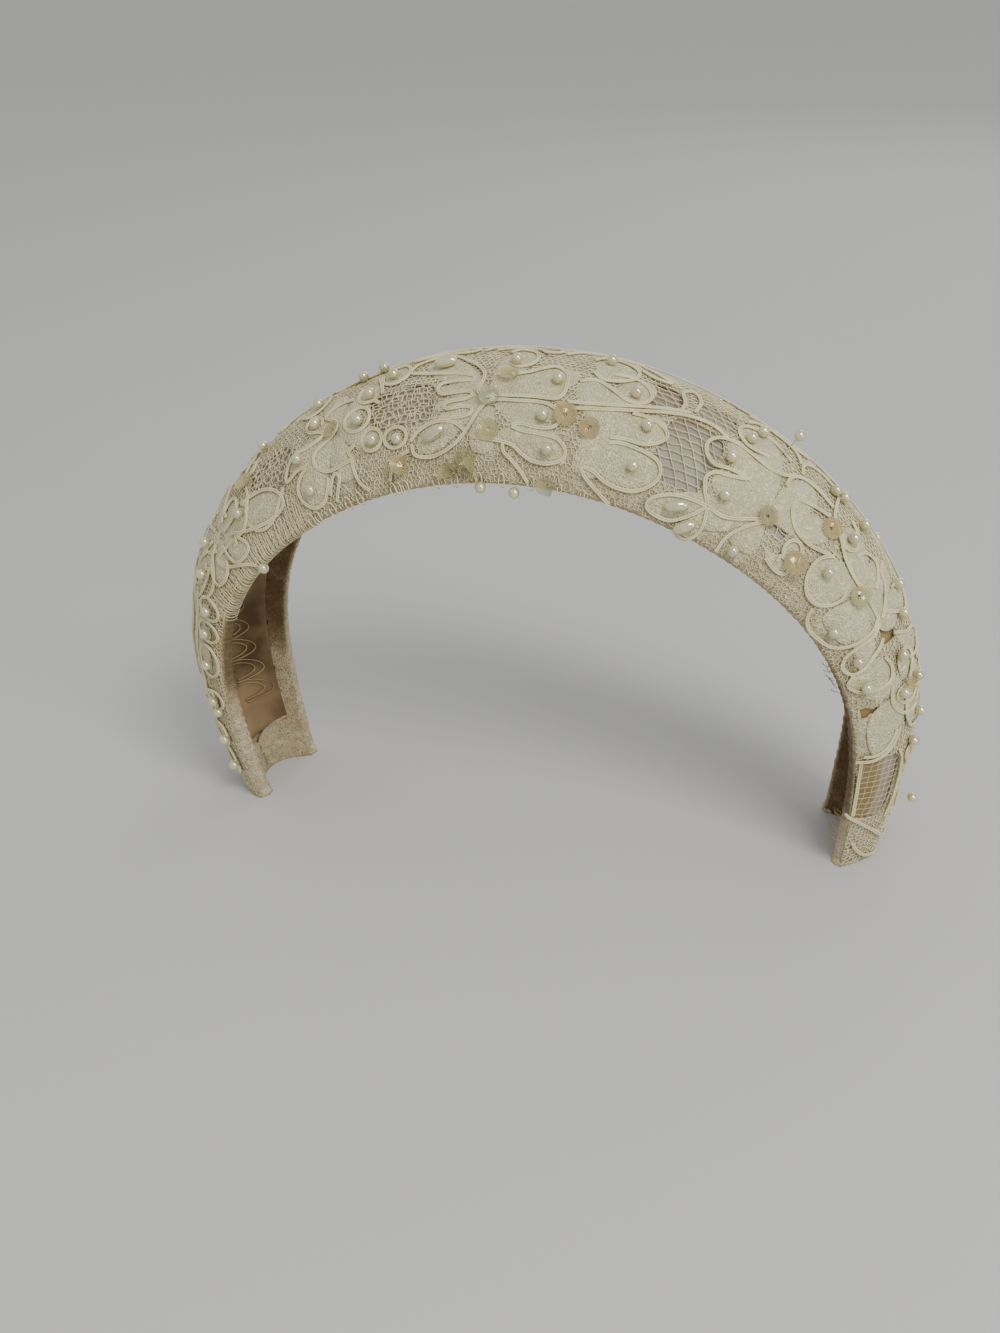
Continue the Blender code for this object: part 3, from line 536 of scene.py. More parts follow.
@dataclass(frozen=True)
class Finish:
    """A worn textile or trimming finish, built as shader nodes."""

    name: str
    colour: Row
    shade: Row
    shade_scale: float = 180.0
    shade_low: float = 0.5
    roughness: float = 0.8
    metallic: float = 0.0
    sheen: float = 0.0
    coat: float = 0.0
    gloss: float = 0.1
    alpha: float = 1.0
    grain_scale: float = 2500.0
    grain_depth: float = 0.0001
    weave: float = 0.0
    pore: Row | None = None
    pore_scale: float = 1200.0
    pore_width: float = 0.22
    pore_depth: float = 0.00025
    stain: Row | None = None
    stain_scale: float = 45.0
    stain_low: float = 0.62
    # Colour mixed in by the point attribute: yellowing and stains, and on the turned-in lace also painted
    # shade
    yellowing_and_shade: Row | None = None

    def build(self) -> bpy.types.Material:
        """Make the material.

        Returns:
            The material.
        """
        material = bpy.data.materials.new(self.name)
        material.use_nodes = True
        tree = material.node_tree
        shader = set_inputs(
            tree.nodes["Principled BSDF"], Roughness=self.roughness, Metallic=self.metallic,
            Sheen_Weight=self.sheen, Sheen_Roughness=0.4, Coat_Weight=self.coat, Coat_Roughness=self.gloss,
            Alpha=self.alpha,
        )
        place = tree.nodes.new("ShaderNodeTexCoord")
        patches = self._patches(tree, place, self.shade_scale, self.shade_low)
        colour = self._mix(tree, patches, self.colour, self.shade)
        if self.stain is not None:
            patches = self._patches(tree, place, self.stain_scale, self.stain_low)
            colour = self._mix(tree, patches, colour, self.stain)
        normal = self._relief(tree, place)
        if self.pore is not None:
            holes, normal = self._pores(tree, place, normal)
            colour = self._mix(tree, holes, self.pore, colour)
        # Mix in the attribute's brown: yellowing and stains, and on the turned-in lace painted shade
        if self.yellowing_and_shade is not None:
            wear_and_shade = tree.nodes.new("ShaderNodeAttribute")
            wear_and_shade.attribute_name = "yellowing_and_shade"
            colour = self._mix(tree, wear_and_shade.outputs["Fac"], colour, self.yellowing_and_shade)
        tree.links.new(colour, shader.inputs["Base Color"])
        tree.links.new(normal, shader.inputs["Normal"])
        return material

    @staticmethod
    def _bump(tree: Tree, height: Socket, strength: float, depth: float,
              normal: Socket | None = None) -> Socket:
        """Relief of a height, on top of earlier relief if there is any.

        Args:
            tree: The material's tree.
            height: Height of the relief, from 0 to 1.
            strength: Strength of the relief.
            depth: Depth of the relief in metres.
            normal: Normal of the earlier relief.

        Returns:
            The normal.
        """
        bump = set_inputs(tree.nodes.new("ShaderNodeBump"), Strength=strength, Distance=depth)
        tree.links.new(height, bump.inputs["Height"])
        if normal is not None:
            tree.links.new(normal, bump.inputs["Normal"])
        return bump.outputs["Normal"]

    @staticmethod
    def _noise(tree: Tree, place: Node, scale: float, detail: float) -> Socket:
        """Soft noise in the piece's own space.

        Args:
            tree: The material's tree.
            place: The coordinates.
            scale: Noise scale.
            detail: Noise detail.

        Returns:
            The noise, from 0 to 1.
        """
        noise = set_inputs(tree.nodes.new("ShaderNodeTexNoise"), Scale=scale, Detail=detail)
        tree.links.new(place.outputs["Object"], noise.inputs["Vector"])
        return noise.outputs["Fac"]

    def _patches(self, tree: Tree, place: Node, scale: float, low: float) -> Socket:
        """Soft patches from 0 to 1.

        Args:
            tree: The material's tree.
            place: The coordinates.
            scale: Noise scale of the patches.
            low: Noise value in the middle of their edge.

        Returns:
            The patches.
        """
        ramp = tree.nodes.new("ShaderNodeValToRGB")
        ramp.color_ramp.elements[0].position = max(low - PATCH_EDGE, 0.0)
        ramp.color_ramp.elements[1].position = min(low + PATCH_EDGE, 1.0)
        tree.links.new(self._noise(tree, place, scale, 3.0), ramp.inputs["Fac"])
        return ramp.outputs["Color"]

    @staticmethod
    def _mix(tree: Tree, share: Socket, first: Row | Socket, second: Row | Socket) -> Socket:
        """Mix two colours by a share.

        Args:
            tree: The material's tree.
            share: How much of the second colour there is.
            first: The colour where the share is 0.
            second: The colour where the share is 1.

        Returns:
            The mixed colour.
        """
        mixer = tree.nodes.new("ShaderNodeMix")
        mixer.data_type = "RGBA"
        tree.links.new(share, mixer.inputs["Factor"])
        for socket, value in ((mixer.inputs[6], first), (mixer.inputs[7], second)):
            if isinstance(value, bpy.types.NodeSocket):
                tree.links.new(value, socket)
            else:
                socket.default_value = (*value, 1.0)
        return mixer.outputs[2]

    def _pores(self, tree: Tree, place: Node, normal: Socket) -> tuple[Socket, Socket]:
        """Fine lace threads round tiny pores.

        Args:
            tree: The material's tree.
            place: The coordinates.
            normal: Normal of the relief below.

        Returns:
            The share of thread, and the normal.
        """
        cells = set_inputs(tree.nodes.new("ShaderNodeTexVoronoi"), Scale=self.pore_scale)
        cells.feature = "DISTANCE_TO_EDGE"
        tree.links.new(place.outputs["Object"], cells.inputs["Vector"])
        thread = set_inputs(
            tree.nodes.new("ShaderNodeMapRange"), From_Min=0.02, From_Max=self.pore_width, To_Min=1.0,
            To_Max=0.0,
        )
        tree.links.new(cells.outputs["Distance"], thread.inputs["Value"])
        share = thread.outputs["Result"]
        return share, self._bump(tree, share, 0.8, self.pore_depth, normal)

    def _relief(self, tree: Tree, place: Node) -> Socket:
        """Grain, and a weave that follows the piece's own layout.

        Args:
            tree: The material's tree.
            place: The coordinates.

        Returns:
            The normal.
        """
        grain = self._noise(tree, place, self.grain_scale, 2.0)
        normal = self._bump(tree, grain, 1.0, self.grain_depth)
        for direction in ("X", "Y") if self.weave else ():
            wave = tree.nodes.new("ShaderNodeTexWave")
            wave.bands_direction = direction
            set_inputs(wave, Scale=self.weave, Distortion=1.5, Detail=1.0)
            tree.links.new(place.outputs["UV"], wave.inputs["Vector"])
            normal = self._bump(tree, wave.outputs["Fac"], 0.6, self.grain_depth, normal)
        return normal


@dataclass(frozen=True)
class Wardrobe:
    """All finishes of the headband."""

    net: Finish = Finish("net thread", (0.72, 0.655, 0.43), (0.62, 0.545, 0.335), grain_depth=0.00005)
    fine_net: Finish = Finish(
        "fine lace thread", (0.76, 0.70, 0.44), (0.64, 0.57, 0.34), grain_depth=0.00005,
    )
    cord: Finish = Finish(
        "lace cord", (0.77, 0.71, 0.44), (0.67, 0.60, 0.345), roughness=0.7, sheen=0.25,
        grain_depth=0.00012, grain_scale=1800.0,
    )
    inner_cord: Finish = Finish(
        "stained cord", (0.38, 0.28, 0.135), (0.26, 0.175, 0.075), shade_scale=120.0,
        grain_depth=0.00012, grain_scale=1800.0,
    )
    clothwork: Finish = Finish(
        "lace clothwork", (0.77, 0.715, 0.445), (0.67, 0.61, 0.355), shade_scale=240.0, roughness=0.85,
        sheen=0.2, grain_depth=0.0002, grain_scale=1500.0, pore=(0.55, 0.49, 0.31), pore_scale=1400.0,
        pore_width=0.28, pore_depth=0.0003, stain=(0.58, 0.47, 0.26), stain_low=0.70,
    )
    ground: Finish = Finish(
        "fine lace ground", (0.73, 0.675, 0.42), (0.53, 0.47, 0.29), shade_scale=240.0, roughness=0.85,
        sheen=0.2, grain_depth=0.0003, grain_scale=1400.0, pore=(0.44, 0.39, 0.26), pore_scale=1000.0,
        pore_width=0.26, pore_depth=0.0003, stain=(0.52, 0.39, 0.20), stain_low=0.68,
        yellowing_and_shade=(0.42, 0.29, 0.12),
    )
    # Its last colour is dark brown, for the stains on the legs and for painted shade under the rolled edge
    # and on the inner side
    turned_lace: Finish = Finish(
        "turned-in lace", (0.66, 0.595, 0.40), (0.50, 0.42, 0.25), shade_scale=400.0, grain_depth=0.0003,
        grain_scale=1200.0, pore=(0.36, 0.28, 0.16), pore_scale=1300.0, pore_width=0.36,
        stain=(0.42, 0.29, 0.12), stain_scale=60.0, yellowing_and_shade=(0.125, 0.07, 0.022),
    )
    satin: Finish = Finish(
        "aged satin", (0.36, 0.315, 0.24), (0.295, 0.25, 0.18), shade_scale=90.0, roughness=0.36,
        sheen=0.1, weave=120.0, grain_depth=0.00003, grain_scale=900.0, stain=(0.40, 0.29, 0.14),
        stain_low=0.66, stain_scale=28.0, yellowing_and_shade=(0.25, 0.17, 0.045),
    )
    lining: Finish = Finish(
        "brown lining", (0.25, 0.15, 0.07), (0.105, 0.055, 0.02), shade_scale=110.0, roughness=0.75,
        weave=120.0, grain_depth=0.00012, stain=(0.36, 0.25, 0.12), stain_low=0.58,
    )
    pearl: Finish = Finish(
        "pearl", (0.80, 0.74, 0.48), (0.67, 0.61, 0.38), roughness=0.12, metallic=0.65, coat=1.0,
        gloss=0.03, grain_depth=0.00001,
    )
    sequin: Finish = Finish(
        "sequin film", (0.64, 0.57, 0.24), (0.56, 0.37, 0.15), shade_scale=60.0, roughness=0.14,
        metallic=0.35, coat=1.0, gloss=0.1, grain_depth=0.00002, stain=(0.42, 0.50, 0.30),
        stain_scale=55.0, stain_low=0.6, alpha=0.5,
    )
    bead_thread: Finish = Finish("sewing thread", (0.76, 0.70, 0.52), (0.66, 0.58, 0.40), roughness=0.6)


@dataclass
class NodeRecipe:
    """A Geometry Nodes tree under construction, with its named inputs."""

    name: str
    tree: Tree = field(init=False)
    inputs: dict[str, str] = field(init=False, default_factory=dict)
    entry: Node = field(init=False)

    def __post_init__(self) -> None:
        """Start the tree with its geometry sockets."""
        self.tree = bpy.data.node_groups.new(self.name, "GeometryNodeTree")
        self.tree.is_modifier = True
        self.tree.interface.new_socket("Geometry", in_out="OUTPUT", socket_type="NodeSocketGeometry")
        self.tree.interface.new_socket("Geometry", in_out="INPUT", socket_type="NodeSocketGeometry")
        self.entry = self.tree.nodes.new("NodeGroupInput")

    def socket(self, name: str, kind: str) -> str:
        """Add a named input to the tree.

        Args:
            name: The input's name.
            kind: The socket's type.

        Returns:
            The same name, for linking.
        """
        item = self.tree.interface.new_socket(name, in_out="INPUT", socket_type=kind)
        self.inputs[name] = item.identifier
        return name

    def node(self, kind: str, **settings: object) -> Node:
        """Add a node and set its properties.

        Args:
            kind: The node's type.
            settings: Its properties.

        Returns:
            The node.
        """
        node = self.tree.nodes.new(kind)
        for key, value in settings.items():
            setattr(node, key, value)
        return node

    def link(self, source: Socket, target: Socket) -> None:
        """Join two sockets."""
        self.tree.links.new(source, target)

    def close(self, geometry: Socket) -> None:
        """End the tree in Realize Instances and Set Material.

        Args:
            geometry: The geometry that leaves the tree.
        """
        material = self.socket("Material", "NodeSocketMaterial")
        realize = self.node("GeometryNodeRealizeInstances")
        dress = self.node("GeometryNodeSetMaterial")
        leave = self.node("NodeGroupOutput")
        self.link(geometry, realize.inputs[0])
        self.link(realize.outputs[0], dress.inputs["Geometry"])
        self.link(self.entry.outputs[material], dress.inputs["Material"])
        self.link(dress.outputs["Geometry"], leave.inputs[0])

    def grow(self, layout: Mesh, values: dict[str, object]) -> Mesh:
        """Run the tree on a layout and keep the result as a plain mesh.

        Args:
            layout: Mesh that the tree starts from.
            values: Value of each named input.

        Returns:
            The finished mesh.
        """
        source = place_object(layout.name, layout)
        modifier = source.modifiers.new(self.name, "NODES")
        modifier.node_group = self.tree
        for key, value in values.items():
            modifier[self.inputs[key]] = value
        depsgraph = bpy.context.evaluated_depsgraph_get()
        mesh = bpy.data.meshes.new_from_object(source.evaluated_get(depsgraph))
        source.modifiers.remove(modifier)
        bpy.data.objects.remove(source, do_unlink=True)
        return mesh


class StrandRecipe:
    """Threads and cords: one or two round strands that follow a line in the flat layout."""

    def __init__(self) -> None:
        """Build the tree."""
        recipe = NodeRecipe("strands")
        radius = recipe.socket("Strand radius", "NodeSocketFloat")
        spread = recipe.socket("Strand spread", "NodeSocketFloat")
        sides = recipe.socket("Strand sides", "NodeSocketInt")
        line = recipe.node("GeometryNodeMeshToCurve")
        upright = recipe.node("GeometryNodeSetCurveNormal")
        upright.mode = "Z_UP"
        circle = recipe.node("GeometryNodeCurvePrimitiveCircle")
        recipe.link(recipe.entry.outputs[radius], circle.inputs["Radius"])
        recipe.link(recipe.entry.outputs[sides], circle.inputs["Resolution"])
        joined = recipe.node("GeometryNodeJoinGeometry")
        for sign in (-1.0, 1.0):
            scaled = recipe.node("ShaderNodeMath", operation="MULTIPLY")
            scaled.inputs[1].default_value = sign
            offset = recipe.node("ShaderNodeCombineXYZ")
            moved = recipe.node("GeometryNodeTransform")
            recipe.link(recipe.entry.outputs[spread], scaled.inputs[0])
            recipe.link(scaled.outputs[0], offset.inputs["X"])
            recipe.link(offset.outputs[0], moved.inputs["Translation"])
            recipe.link(circle.outputs["Curve"], moved.inputs["Geometry"])
            recipe.link(moved.outputs["Geometry"], joined.inputs["Geometry"])
        single = recipe.node("FunctionNodeCompare", data_type="FLOAT", operation="LESS_THAN")
        single.inputs["B"].default_value = 0.001
        recipe.link(recipe.entry.outputs[spread], single.inputs["A"])
        profile = recipe.node("GeometryNodeSwitch", input_type="GEOMETRY")
        recipe.link(single.outputs[0], profile.inputs["Switch"])
        recipe.link(joined.outputs[0], profile.inputs["False"])
        recipe.link(circle.outputs["Curve"], profile.inputs["True"])
        body = recipe.node("GeometryNodeCurveToMesh")
        body.inputs["Fill Caps"].default_value = True
        recipe.link(recipe.entry.outputs["Geometry"], line.inputs["Mesh"])
        recipe.link(line.outputs["Curve"], upright.inputs["Curve"])
        recipe.link(upright.outputs["Curve"], body.inputs["Curve"])
        recipe.link(profile.outputs["Output"], body.inputs["Profile Curve"])
        recipe.close(body.outputs["Mesh"])
        self.recipe = recipe

    def mesh(self, points: np.ndarray, edges: np.ndarray, radius: float, spread: float, sides: int,
             material: bpy.types.Material) -> Mesh:
        """Strands along the given edges.

        Args:
            points: Flat layout points, one row each.
            edges: Pairs of point numbers.
            radius: Radius of one strand.
            spread: Half the distance between a pair of strands, or 0 for one strand.
            sides: Sides of a strand.
            material: Finish of the strands.

        Returns:
            The mesh, still in the flat layout.
        """
        layout = bpy.data.meshes.new("strand layout")
        layout.from_pydata(points.tolist(), edges.tolist(), [])
        return self.recipe.grow(layout, {
            "Strand radius": radius, "Strand spread": spread, "Strand sides": sides, "Material": material,
        })


class BeadRecipe:
    """Beads on points that carry their own directions and sizes."""

    def __init__(self) -> None:
        """Build the tree."""
        recipe = NodeRecipe("beads")
        segments = recipe.socket("Bead segments", "NodeSocketInt")
        rings = recipe.socket("Bead rings", "NodeSocketInt")
        ball = recipe.node("GeometryNodeMeshUVSphere")
        ball.inputs["Radius"].default_value = 1.0
        recipe.link(recipe.entry.outputs[segments], ball.inputs["Segments"])
        recipe.link(recipe.entry.outputs[rings], ball.inputs["Rings"])
        smooth = recipe.node("GeometryNodeSetShadeSmooth")
        recipe.link(ball.outputs["Mesh"], smooth.inputs["Geometry"])
        axis = self._attribute(recipe, "bead_axis")
        out = self._attribute(recipe, "bead_out")
        size = self._attribute(recipe, "bead_size")
        first = recipe.node("FunctionNodeAlignRotationToVector", axis="Z")
        second = recipe.node("FunctionNodeAlignRotationToVector", axis="X", pivot_axis="Z")
        recipe.link(axis, first.inputs["Vector"])
        recipe.link(first.outputs["Rotation"], second.inputs["Rotation"])
        recipe.link(out, second.inputs["Vector"])
        spots = recipe.node("GeometryNodeMeshToPoints")
        place = recipe.node("GeometryNodeInstanceOnPoints")
        recipe.link(recipe.entry.outputs["Geometry"], spots.inputs["Mesh"])
        recipe.link(spots.outputs["Points"], place.inputs["Points"])
        recipe.link(smooth.outputs["Geometry"], place.inputs["Instance"])
        recipe.link(second.outputs["Rotation"], place.inputs["Rotation"])
        recipe.link(size, place.inputs["Scale"])
        recipe.close(place.outputs["Instances"])
        self.recipe = recipe

    @staticmethod
    def _attribute(recipe: NodeRecipe, name: str) -> Socket:
        """Read a vector that the points carry.

        Args:
            recipe: The tree.
            name: The vector's name.

        Returns:
            The vector.
        """
        reader = recipe.node("GeometryNodeInputNamedAttribute", data_type="FLOAT_VECTOR")
        reader.inputs["Name"].default_value = name
        return reader.outputs["Attribute"]

    def mesh(self, rows: Sequence[tuple[Vector, Vector, Vector, Row]], segments: int, rings: int,
             material: bpy.types.Material) -> Mesh:
        """Beads at the given places.

        Args:
            rows: Centre, long axis, outward direction and three radii of each bead, in metres.
            segments: Sides round a bead.
            rings: Rings from pole to pole.
            material: Finish of the beads.

        Returns:
            The mesh, in metres.
        """
        layout = bpy.data.meshes.new("bead layout")
        layout.from_pydata([tuple(row[0]) for row in rows], [], [])
        for name, column in (("bead_axis", 1), ("bead_out", 2), ("bead_size", 3)):
            values = layout.attributes.new(name, "FLOAT_VECTOR", "POINT")
            values.data.foreach_set("vector", [value for row in rows for value in row[column]])
        return self.recipe.grow(
            layout, {"Bead segments": segments, "Bead rings": rings, "Material": material}
        )


@dataclass
class Workshop:
    """What every sub-assembly is made with: the form, the finishes and the recipes."""

    form: BandForm = field(default_factory=BandForm)
    wardrobe: Wardrobe = field(default_factory=Wardrobe)
    finishes: dict[str, bpy.types.Material] = field(default_factory=dict)
    strands: StrandRecipe = field(default_factory=StrandRecipe)
    beads: BeadRecipe = field(default_factory=BeadRecipe)

    def finish(self, recipe: Finish) -> bpy.types.Material:
        """Material of a finish, made once.

        Args:
            recipe: The finish.

        Returns:
            Its material.
        """
        if recipe.name not in self.finishes:
            self.finishes[recipe.name] = recipe.build()
        return self.finishes[recipe.name]

    def wrap_mesh(self, mesh: Mesh) -> None:
        """Wrap a flat mesh onto the band, in place.

        Args:
            mesh: The mesh.
        """
        flat = np.empty(len(mesh.vertices) * 3, np.float32)
        mesh.vertices.foreach_get("co", flat)
        flat = flat.reshape(-1, 3).astype(float)
        mesh.vertices.foreach_set("co", self.form.wrap(flat[:, 0], flat[:, 1], flat[:, 2]).ravel())
        mesh.update()

    def keep(self, name: str, mesh: Mesh, slot: str = LACE,
             replaces: Iterable[str] = ()) -> bpy.types.Object:
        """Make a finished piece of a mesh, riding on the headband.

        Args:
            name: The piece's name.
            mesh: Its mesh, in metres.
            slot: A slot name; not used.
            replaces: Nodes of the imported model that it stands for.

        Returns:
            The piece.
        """
        piece = place_object(name, mesh)
        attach(piece, "root")
        for node in replaces:
            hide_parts(node)
        LOG.info("%s: %d faces", name, len(mesh.polygons))
        return piece

    @staticmethod
    def declare_cloth(piece: bpy.types.Object, cloth: np.ndarray, kept: np.ndarray | None = None) -> None:
        """Take a piece and the points of its cloth, and do nothing with them.

        Args:
            piece: The piece; not used.
            cloth: Rows and columns of points on one side of the cloth, in metres; not used.
            kept: Which squares of the cloth are left, where some are cut away; not used.
        """

    def string(self, name: str, points: np.ndarray, edges: np.ndarray, finish: Finish, radius: float,
               spread: float = 0.0, sides: int = 5, smooth: bool = True,
               replaces: Iterable[str] = ()) -> None:
        """Make strands along flat edges as a piece.

        Args:
            name: The piece's name.
            points: Flat layout points, one row each.
            edges: Pairs of point numbers.
            finish: Finish of the strands.
            radius: Radius of one strand.
            spread: Half the distance between a pair of strands, or 0 for one strand.
            sides: Sides of a strand.
            smooth: Whether the strands are shaded smooth.
            replaces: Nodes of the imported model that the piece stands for.
        """
        mesh = self.strands.mesh(points, edges, radius, spread, sides, self.finish(finish))
        if smooth:
            mesh.shade_smooth()
        self.wrap_mesh(mesh)
        self.keep(name, mesh, replaces=replaces)

    def solid(self, name: str, points: np.ndarray, faces: Sequence[Sequence[int]], finish: Finish,
              layout: np.ndarray | None = None, yellowing_and_shade: np.ndarray | None = None) -> Mesh:
        """Closed mesh with outward faces and, if asked for, its own layout as UV map.

        Args:
            name: The mesh's name.
            points: Points in metres.
            faces: Point numbers of each face.
            finish: Its finish.
            layout: Flat place of each point in millimetres, for the UV map.
            yellowing_and_shade: Share of brown colour mixed in at each point, from 0 to 1: yellowing and
                stains, and on the turned-in lace also painted shade under its edge.

        Returns:
            The mesh.
        """
        mesh = bpy.data.meshes.new(name)
        mesh.from_pydata(points.tolist(), [], [tuple(int(i) for i in face) for face in faces])
        sculpt = bmesh.new()
        sculpt.from_mesh(mesh)
        bmesh.ops.recalc_face_normals(sculpt, faces=sculpt.faces)
        sculpt.to_mesh(mesh)
        sculpt.free()
        mesh.materials.append(self.finish(finish))
        mesh.shade_smooth()
        if yellowing_and_shade is not None:
            wear_and_shade = mesh.attributes.new("yellowing_and_shade", "FLOAT", "POINT")
            wear_and_shade.data.foreach_set("value", np.ascontiguousarray(yellowing_and_shade, np.float32))
        if layout is not None:
            spread = mesh.uv_layers.new(name="layout")
            order = np.empty(len(mesh.loops), np.int32)
            mesh.loops.foreach_get("vertex_index", order)
            spread.data.foreach_set("uv", (layout[order] * LAYOUT_SCALE).astype(np.float32).ravel())
        return mesh


def grid_faces(rows: int, columns: int, offset: int, closed: bool = False) -> list[Quad]:
    """Quads of a grid of points.

    Args:
        rows: Rows of points.
        columns: Points in a row.
        offset: Number of the first point.
        closed: Whether the last column joins the first.

    Returns:
        Point numbers of each quad.
    """
    faces = []
    for row in range(rows - 1):
        for column in range(columns if closed else columns - 1):
            following = (column + 1) % columns
            low = offset + row * columns
            faces.append((low + column, low + following, low + columns + following, low + columns + column))
    return faces


def rim_faces(rows: int, columns: int, top: int, bottom: int) -> list[Quad]:
    """Quads that join the rims of two grids of one size.

    Args:
        rows: Rows of points.
        columns: Points in a row.
        top: Number of the first grid's first point.
        bottom: Number of the second grid's first point.

    Returns:
        Point numbers of each quad.
    """
    rim = [(0, column) for column in range(columns)]
    rim += [(row, columns - 1) for row in range(1, rows)]
    rim += [(rows - 1, column) for column in range(columns - 2, -1, -1)]
    rim += [(row, 0) for row in range(rows - 2, 0, -1)]
    faces = []
    for (row, column), (next_row, next_column) in zip(rim, rim[1:] + rim[:1]):
        here = row * columns + column
        there = next_row * columns + next_column
        faces.append((top + here, top + there, bottom + there, bottom + here))
    return faces


def sheet_faces(rows: int, columns: int, first: int = 0) -> list[Quad]:
    """Quads of a closed sheet: two grids of one size and the rim between them.

    Args:
        rows: Rows of points.
        columns: Points in a row.
        first: Number of the first point.

    Returns:
        Point numbers of each quad.
    """
    second = first + rows * columns
    sides = grid_faces(rows, columns, first) + grid_faces(rows, columns, second)
    return sides + rim_faces(rows, columns, first, second)


def ring_faces(rows: int, columns: int, first: int) -> list[Quad]:
    """Quads of a closed sheet whose rows close on themselves, with both its rims.

    Args:
        rows: Rows of points.
        columns: Points in a row.
        first: Number of the first point.

    Returns:
        Point numbers of each quad.
    """
    level = rows * columns
    faces = grid_faces(rows, columns, first, closed=True)
    faces += grid_faces(rows, columns, first + level, closed=True)
    for start in (first, first + level - columns):
        for side in range(columns):
            here = start + side
            there = start + (side + 1) % columns
            faces.append((here, there, there + level, here + level))
    return faces


@dataclass
class Layers:
    """Closed sheets that make one piece: their points, faces and flat layout."""

    points: list[np.ndarray] = field(default_factory=list)
    faces: list[Quad] = field(default_factory=list)
    layout: list[np.ndarray] = field(default_factory=list)
    count: int = 0

    def add(self, top: np.ndarray, under: np.ndarray, flat: Flat, ring: bool = False) -> None:
        """Add a closed sheet.

        Args:
            top: Points of its first side by row and column, in metres.
            under: Points of its other side.
            flat: Flat places of the points, for the UV map.
            ring: Whether its rows close on themselves.
        """
        rows, columns = top.shape[:2]
        self.faces += (ring_faces if ring else sheet_faces)(rows, columns, self.count)
        self.points += [side.reshape(-1, 3) for side in (top, under)]
        self.layout += 2 * [np.stack([part.ravel() for part in flat], axis=1)]
        self.count += 2 * rows * columns

    def solid(self, shop: Workshop, name: str, finish: Finish, yellowing_and_shade: np.ndarray | None = None) -> Mesh:
        """Make the sheets as one mesh.

        Args:
            shop: The workshop.
            name: The mesh's name.
            finish: Its finish.
            yellowing_and_shade: Share of brown colour mixed in at each point, from 0 to 1: yellowing and
                stains, and on the turned-in lace also painted shade under its edge.

        Returns:
            The mesh.
        """
        return shop.solid(name, np.vstack(self.points), self.faces, finish, np.vstack(self.layout), yellowing_and_shade)


def smooth_path(knots: Sequence[tuple[float, float]], step: float) -> np.ndarray:
    """Smooth line through flat knots.

    Args:
        knots: Along and across of each knot.
        step: Distance between the points of the line.

    Returns:
        Along and across of each point.
    """
    marks = np.array(knots, float)
    ends = np.vstack([2 * marks[0] - marks[1], marks, 2 * marks[-1] - marks[-2]])
    line = []
    for a, b, c, d in zip(ends, ends[1:], ends[2:], ends[3:]):
        count = max(2, int(math.ceil(np.linalg.norm(c - b) / step)))
        share = (np.arange(count) / count)[:, None]
        line.append(0.5 * (
            2 * b + (c - a) * share + (2 * a - 5 * b + 4 * c - d) * share ** 2
            + (3 * b - a - 3 * c + d) * share ** 3
        ))
    return np.vstack(line + [marks[-1:]])


def chain(lines: Sequence[np.ndarray], rings: int = 0) -> Flat:
    """Points and edges of several lines.

    Args:
        lines: Points of each line.
        rings: How many lines, the last ones, close on themselves.

    Returns:
        All points and the pairs of point numbers.
    """
    points = np.vstack(lines)
    edges = []
    first = 0
    for number, line in enumerate(lines):
        count = len(line)
        edges += [(first + index, first + index + 1) for index in range(count - 1)]
        if number >= len(lines) - rings:
            edges.append((first + count - 1, first))
        first += count
    return points, np.array(edges)


